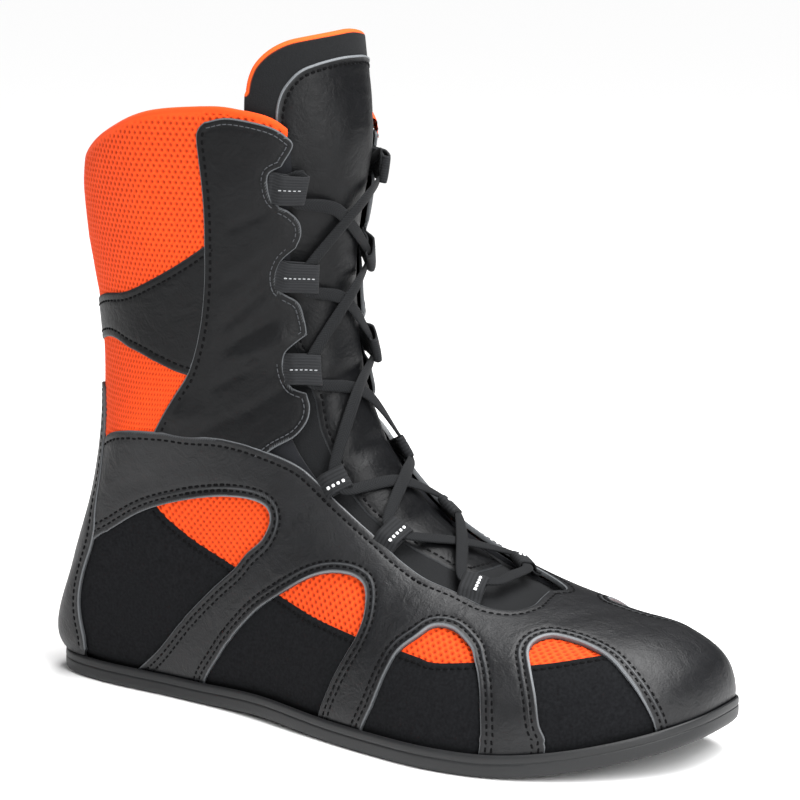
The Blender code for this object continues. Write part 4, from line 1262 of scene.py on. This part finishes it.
# Its ends, from the top loop to behind the cuff: steps in u and t, and lift.
TUCK = ((0.02, 0.0, 0.9), (0.12, 0.05, -1.0), (0.12, 0.11, -1.65))
AROUND, RING_STEP = 16, 1.2          # points round the lace, and mm between its rings
# Flat black braid: small slanting shades that keep the lace apart from the leather below.
lace_black, tree, _ = new_material("flat_woven_lace_black", "#141517", 0.8,
                                   Specular_IOR_Level=0.15, Sheen_Weight=0.02,
                                   Sheen_Roughness=0.5)
along = add_node(tree, "ShaderNodeAttribute", attribute_name="along")
sideways = add_node(tree, "ShaderNodeAttribute", attribute_name="sideways")
WEAVE_MM = 1.1           # chevrons of the braid, drawn a little coarse so that they show
fold_out = add_node(tree, "ShaderNodeMath", None, {0: sideways.outputs["Fac"]},
                    operation="ABSOLUTE")
slant = add_node(tree, "ShaderNodeMath", None, {0: along.outputs["Fac"],
                 1: fold_out.outputs["Value"]}, operation="ADD")
braid = wave_share(tree, slant.outputs["Value"], WEAVE_MM)
dress(tree, "#0F1011", "#1B1C1E", braid, braid, 0.3, 0.0002)


def ring_faces(rings, around):
    """Quads between closed rings of points, numbered ring by ring."""
    return [(i * around + j, i * around + (j + 1) % around,
             (i + 1) * around + (j + 1) % around, (i + 1) * around + j)
            for i in range(rings - 1) for j in range(around)]


def ribbon(name, places, widths):
    """A flat lace with rounded edges along (u, t, lift) places."""
    u, t, lift = np.array(places).T
    path = over_last(u, t, lift)
    dense = through(np.concatenate([path, np.array(places)[:, :2],
                                    np.array(widths)[:, None]], axis=1))
    run = run_along(dense[:, :3])
    at = np.linspace(0.0, run[-1], int(run[-1] / RING_STEP))
    dense = resampled(dense, run, at)
    ahead = unit(np.gradient(dense[:, :3], axis=0))
    wide = unit(np.cross(slopes(dense[:, 3], dense[:, 4])[2], ahead))
    up = np.cross(ahead, wide)
    turn = np.linspace(0.0, 2 * math.pi, AROUND + 1)[:-1]
    x = np.sign(np.cos(turn)) * np.abs(np.cos(turn)) ** 0.7 / 2
    y = np.sign(np.sin(turn)) * np.abs(np.sin(turn)) ** 0.8 / 2
    rings = (dense[:, None, :3] + wide[:, None] * (x[None, :] * dense[:, 5:6])[..., None]
             + up[:, None] * (y * LACE_THICK)[None, :, None])
    count = len(rings)
    points = rings.reshape(-1, 3)
    faces = ring_faces(count, AROUND)
    faces.append(tuple(range(AROUND - 1, -1, -1)))
    faces.append(tuple((count - 1) * AROUND + j for j in range(AROUND)))
    lace = add_piece(name, points, faces, lace_black, smooth=60)
    store(lace, "along", np.repeat(at, AROUND))
    store(lace, "sideways", (x[None, :] * dense[:, 5:6]).ravel())
    return lace, run[-1]


def strand(side):
    """Places of one end of the lace, from the middle of the bar to behind a cuff."""
    places = [(*BAR_MIDDLE, ON_TONGUE)]
    widths = [LACE_WIDE]
    for pair in range(6):
        hold = holds[side][pair]
        if pair == 0:
            hold = [(hold[0][0] - 0.05, hold[0][1] * 0.8)] + hold[1:]
        for k, (u, t) in enumerate(hold):
            edge = k in (0, len(hold) - 1)
            places.append((u, t, ON_TONGUE if edge else IN_LOOP))
            widths.append(LACE_WIDE * (0.85 if edge else 0.95))
        if pair < 5:
            ahead = holds[-side][pair + 1]
            places.append(((hold[-1][0] + ahead[0][0]) / 2, (hold[-1][1] + ahead[0][1]) / 2,
                           ON_TONGUE - side * OVER))
            widths.append(LACE_WIDE)
        side = -side
    u, t, _ = places.pop()
    widths.pop()
    away = np.sign(t)
    for up, out, lift in TUCK:
        places.append((u + up, t + away * out, lift))
        widths.append(LACE_WIDE)
    return places, widths


lengths = []
for side in (OUTER, INNER):
    lace, length = ribbon("lace_" + side_name[side], *strand(side))
    lengths.append(length)
    if side == OUTER:
        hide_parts("lace_bar", "lace_cross_1", "lace_cross_2", "lace_cross_3",
                    "lace_cross_4", "lace_cross_5")
print("lace length mm", [round(value) for value in lengths])


# ================================================================ the cup sole
# Thin moulded rubber: a level heel and ball, a low arch, a sprung toe, and a lip that wraps
# the foot of the upper. It is glued on; its tread is low hexagons.
SOLE_TOP, LIP_HEIGHT = 3.2, 8.5
# Matt moulded rubber: a fine skin and wide dusty patches, with a dull shine on the lip.
sole_rubber, tree, _ = new_material("moulded_rubber_black", "#17181A", 0.5,
                                    Specular_IOR_Level=0.4)
place = add_node(tree, "ShaderNodeTexCoord")
skin = add_node(tree, "ShaderNodeTexNoise", {"Scale": 1300.0, "Detail": 3.0},
                {"Vector": place.outputs["Object"]})
dust = add_node(tree, "ShaderNodeTexNoise", {"Scale": 35.0, "Detail": 3.0},
                {"Vector": place.outputs["Object"]})
dress(tree, "#0F1011", "#17181A", dust.outputs["Fac"], skin.outputs["Fac"], 0.3, 0.0002)


def level_line(level, count):
    """Closed plan outline of the last at a level over the tread, evenly spaced."""
    u = np.linspace(0.0, 12.0, 1201)
    halves = []
    for side in (OUTER, INNER):
        a = share_at_level(u, side, level)
        good = (a > 0.0) & (a < 1.0)
        line = on_last(u[good], side * (1.0 - a[good]))[:, :2]
        halves.append(line[::-1])
    toe = (halves[0][-1] + halves[1][-1]) / 2
    heel = np.array([min(halves[0][0, 0], halves[1][0, 0]), 0.0])
    loop = np.vstack([heel[None], halves[0], toe[None], halves[1][::-1]])
    loop = np.vstack([loop, loop[:1]])
    for _ in range(3):
        run = run_along(loop)
        ring = resampled(loop, run, np.linspace(0.0, run[-1], count + 1))[:-1]
        ring = (np.roll(ring, 1, axis=0) + 2 * ring + np.roll(ring, -1, axis=0)) / 4
        loop = np.vstack([ring, ring[:1]])
    return loop[:-1]


def widened(outline, distance):
    """The closed outline moved outward by distance."""
    tangent = np.roll(outline, -1, axis=0) - np.roll(outline, 1, axis=0)
    normal = unit(np.stack([-tangent[:, 1], tangent[:, 0]], axis=1))
    if np.mean(((outline - outline.mean(axis=0)) * normal).sum(axis=1)) < 0:
        normal = -normal
    return outline + distance * normal


wrap = level_line(LIP_HEIGHT, 320)
# Section of the edge, from the tread's rim up and over the lip: outward place and height.
RIM = ((0.0, 0.7), (0.6, 0.25), (1.3, 0.35), (1.9, 0.9), (2.25, 1.9), (2.3, 3.0), (2.3, 4.6),
       (2.25, 5.2), (2.05, 5.45), (2.05, 5.65), (2.25, 5.9), (2.3, 6.4), (2.25, 7.6),
       (2.1, 8.3), (1.75, 8.7), (1.35, 8.75), (1.05, 8.5), (0.9, 7.8), (0.85, 3.2))
points, count = [], len(wrap)
for out, height in RIM:
    ring = widened(wrap, out)
    points.extend(np.column_stack([ring, tread_z(ring[:, 0]) + height]))
faces = ring_faces(len(RIM), count)
half = count // 2
for ring, height, flip in ((0, 0.7, False), (len(RIM) - 1, SOLE_TOP, True)):
    start = ring * count
    rows = []
    for i in range(1, half):
        one, other = np.array(points[start + i]), np.array(points[start + count - i])
        row = [start + i]
        for k in range(1, 8):
            x, y = (one + (other - one) * k / 8)[:2]
            points.append((x, y, float(tread_z(x)) + height))
            row.append(len(points) - 1)
        rows.append(row + [start + count - i])
    rows = [[start] * 9] + rows + [[start + half] * 9]
    for row, following in zip(rows, rows[1:]):
        for k in range(8):
            corners = tuple(dict.fromkeys((row[k], row[k + 1], following[k + 1],
                                           following[k])))
            if len(corners) > 2:
                faces.append(corners[::-1] if flip else corners)
# The tread's hexagons: share of their width and height over the ground, from root to face.
LUG_PITCH, LUG_WIDE, LUG_INSET = 7.0, 5.4, 1.5
HEXAGON = 0.866          # height of a triangle of side 1
LUG_PROFILE = ((1.0, 0.75), (1.0, 0.12), (0.86, 0.0))
edge = widened(wrap, -LUG_INSET)
for row in range(-9, 10):
    for column in range(-8, 37):
        x = column * LUG_PITCH + (LUG_PITCH / 2 if row % 2 else 0.0)
        y = row * LUG_PITCH * HEXAGON
        if not inside(edge, np.array([(x, y)]))[0]:
            continue
        start = len(points)
        for wide, height in LUG_PROFILE:
            for k in range(6):
                angle = math.pi / 6 + k * math.pi / 3
                px = x + LUG_WIDE / 2 * wide * math.cos(angle)
                py = y + LUG_WIDE / 2 * wide * math.sin(angle)
                points.append((px, py, float(tread_z(px)) + height))
        faces += [tuple(start + corner for corner in (a, d, c, b))
                  for a, b, c, d in ring_faces(3, 6)]
        faces.append(tuple(start + 12 + k for k in range(5, -1, -1)))
sole = add_piece("cup_sole_rubber", points, faces, sole_rubber, smooth=35)
work = bmesh.new()
work.from_mesh(sole.data)
bmesh.ops.recalc_face_normals(work, faces=work.faces)
work.to_mesh(sole.data)
work.free()
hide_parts("outsole")


# ================================================================ the footbed
# Flat foam insole with a needled felt face; its solid keeps its shape and takes the finish.
# Grey felt with loose fibres, so the footbed reads softer than the knit round it.
felt = fibre_material("needled_felt_grey", "#2A2B2D", "#55575A", 0.95, 900.0, 4.0, 0.6, 0.0003,
                      Specular_IOR_Level=0.2, Sheen_Weight=0.2)
for material_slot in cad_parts["insole"].material_slots:
    material_slot.material = felt
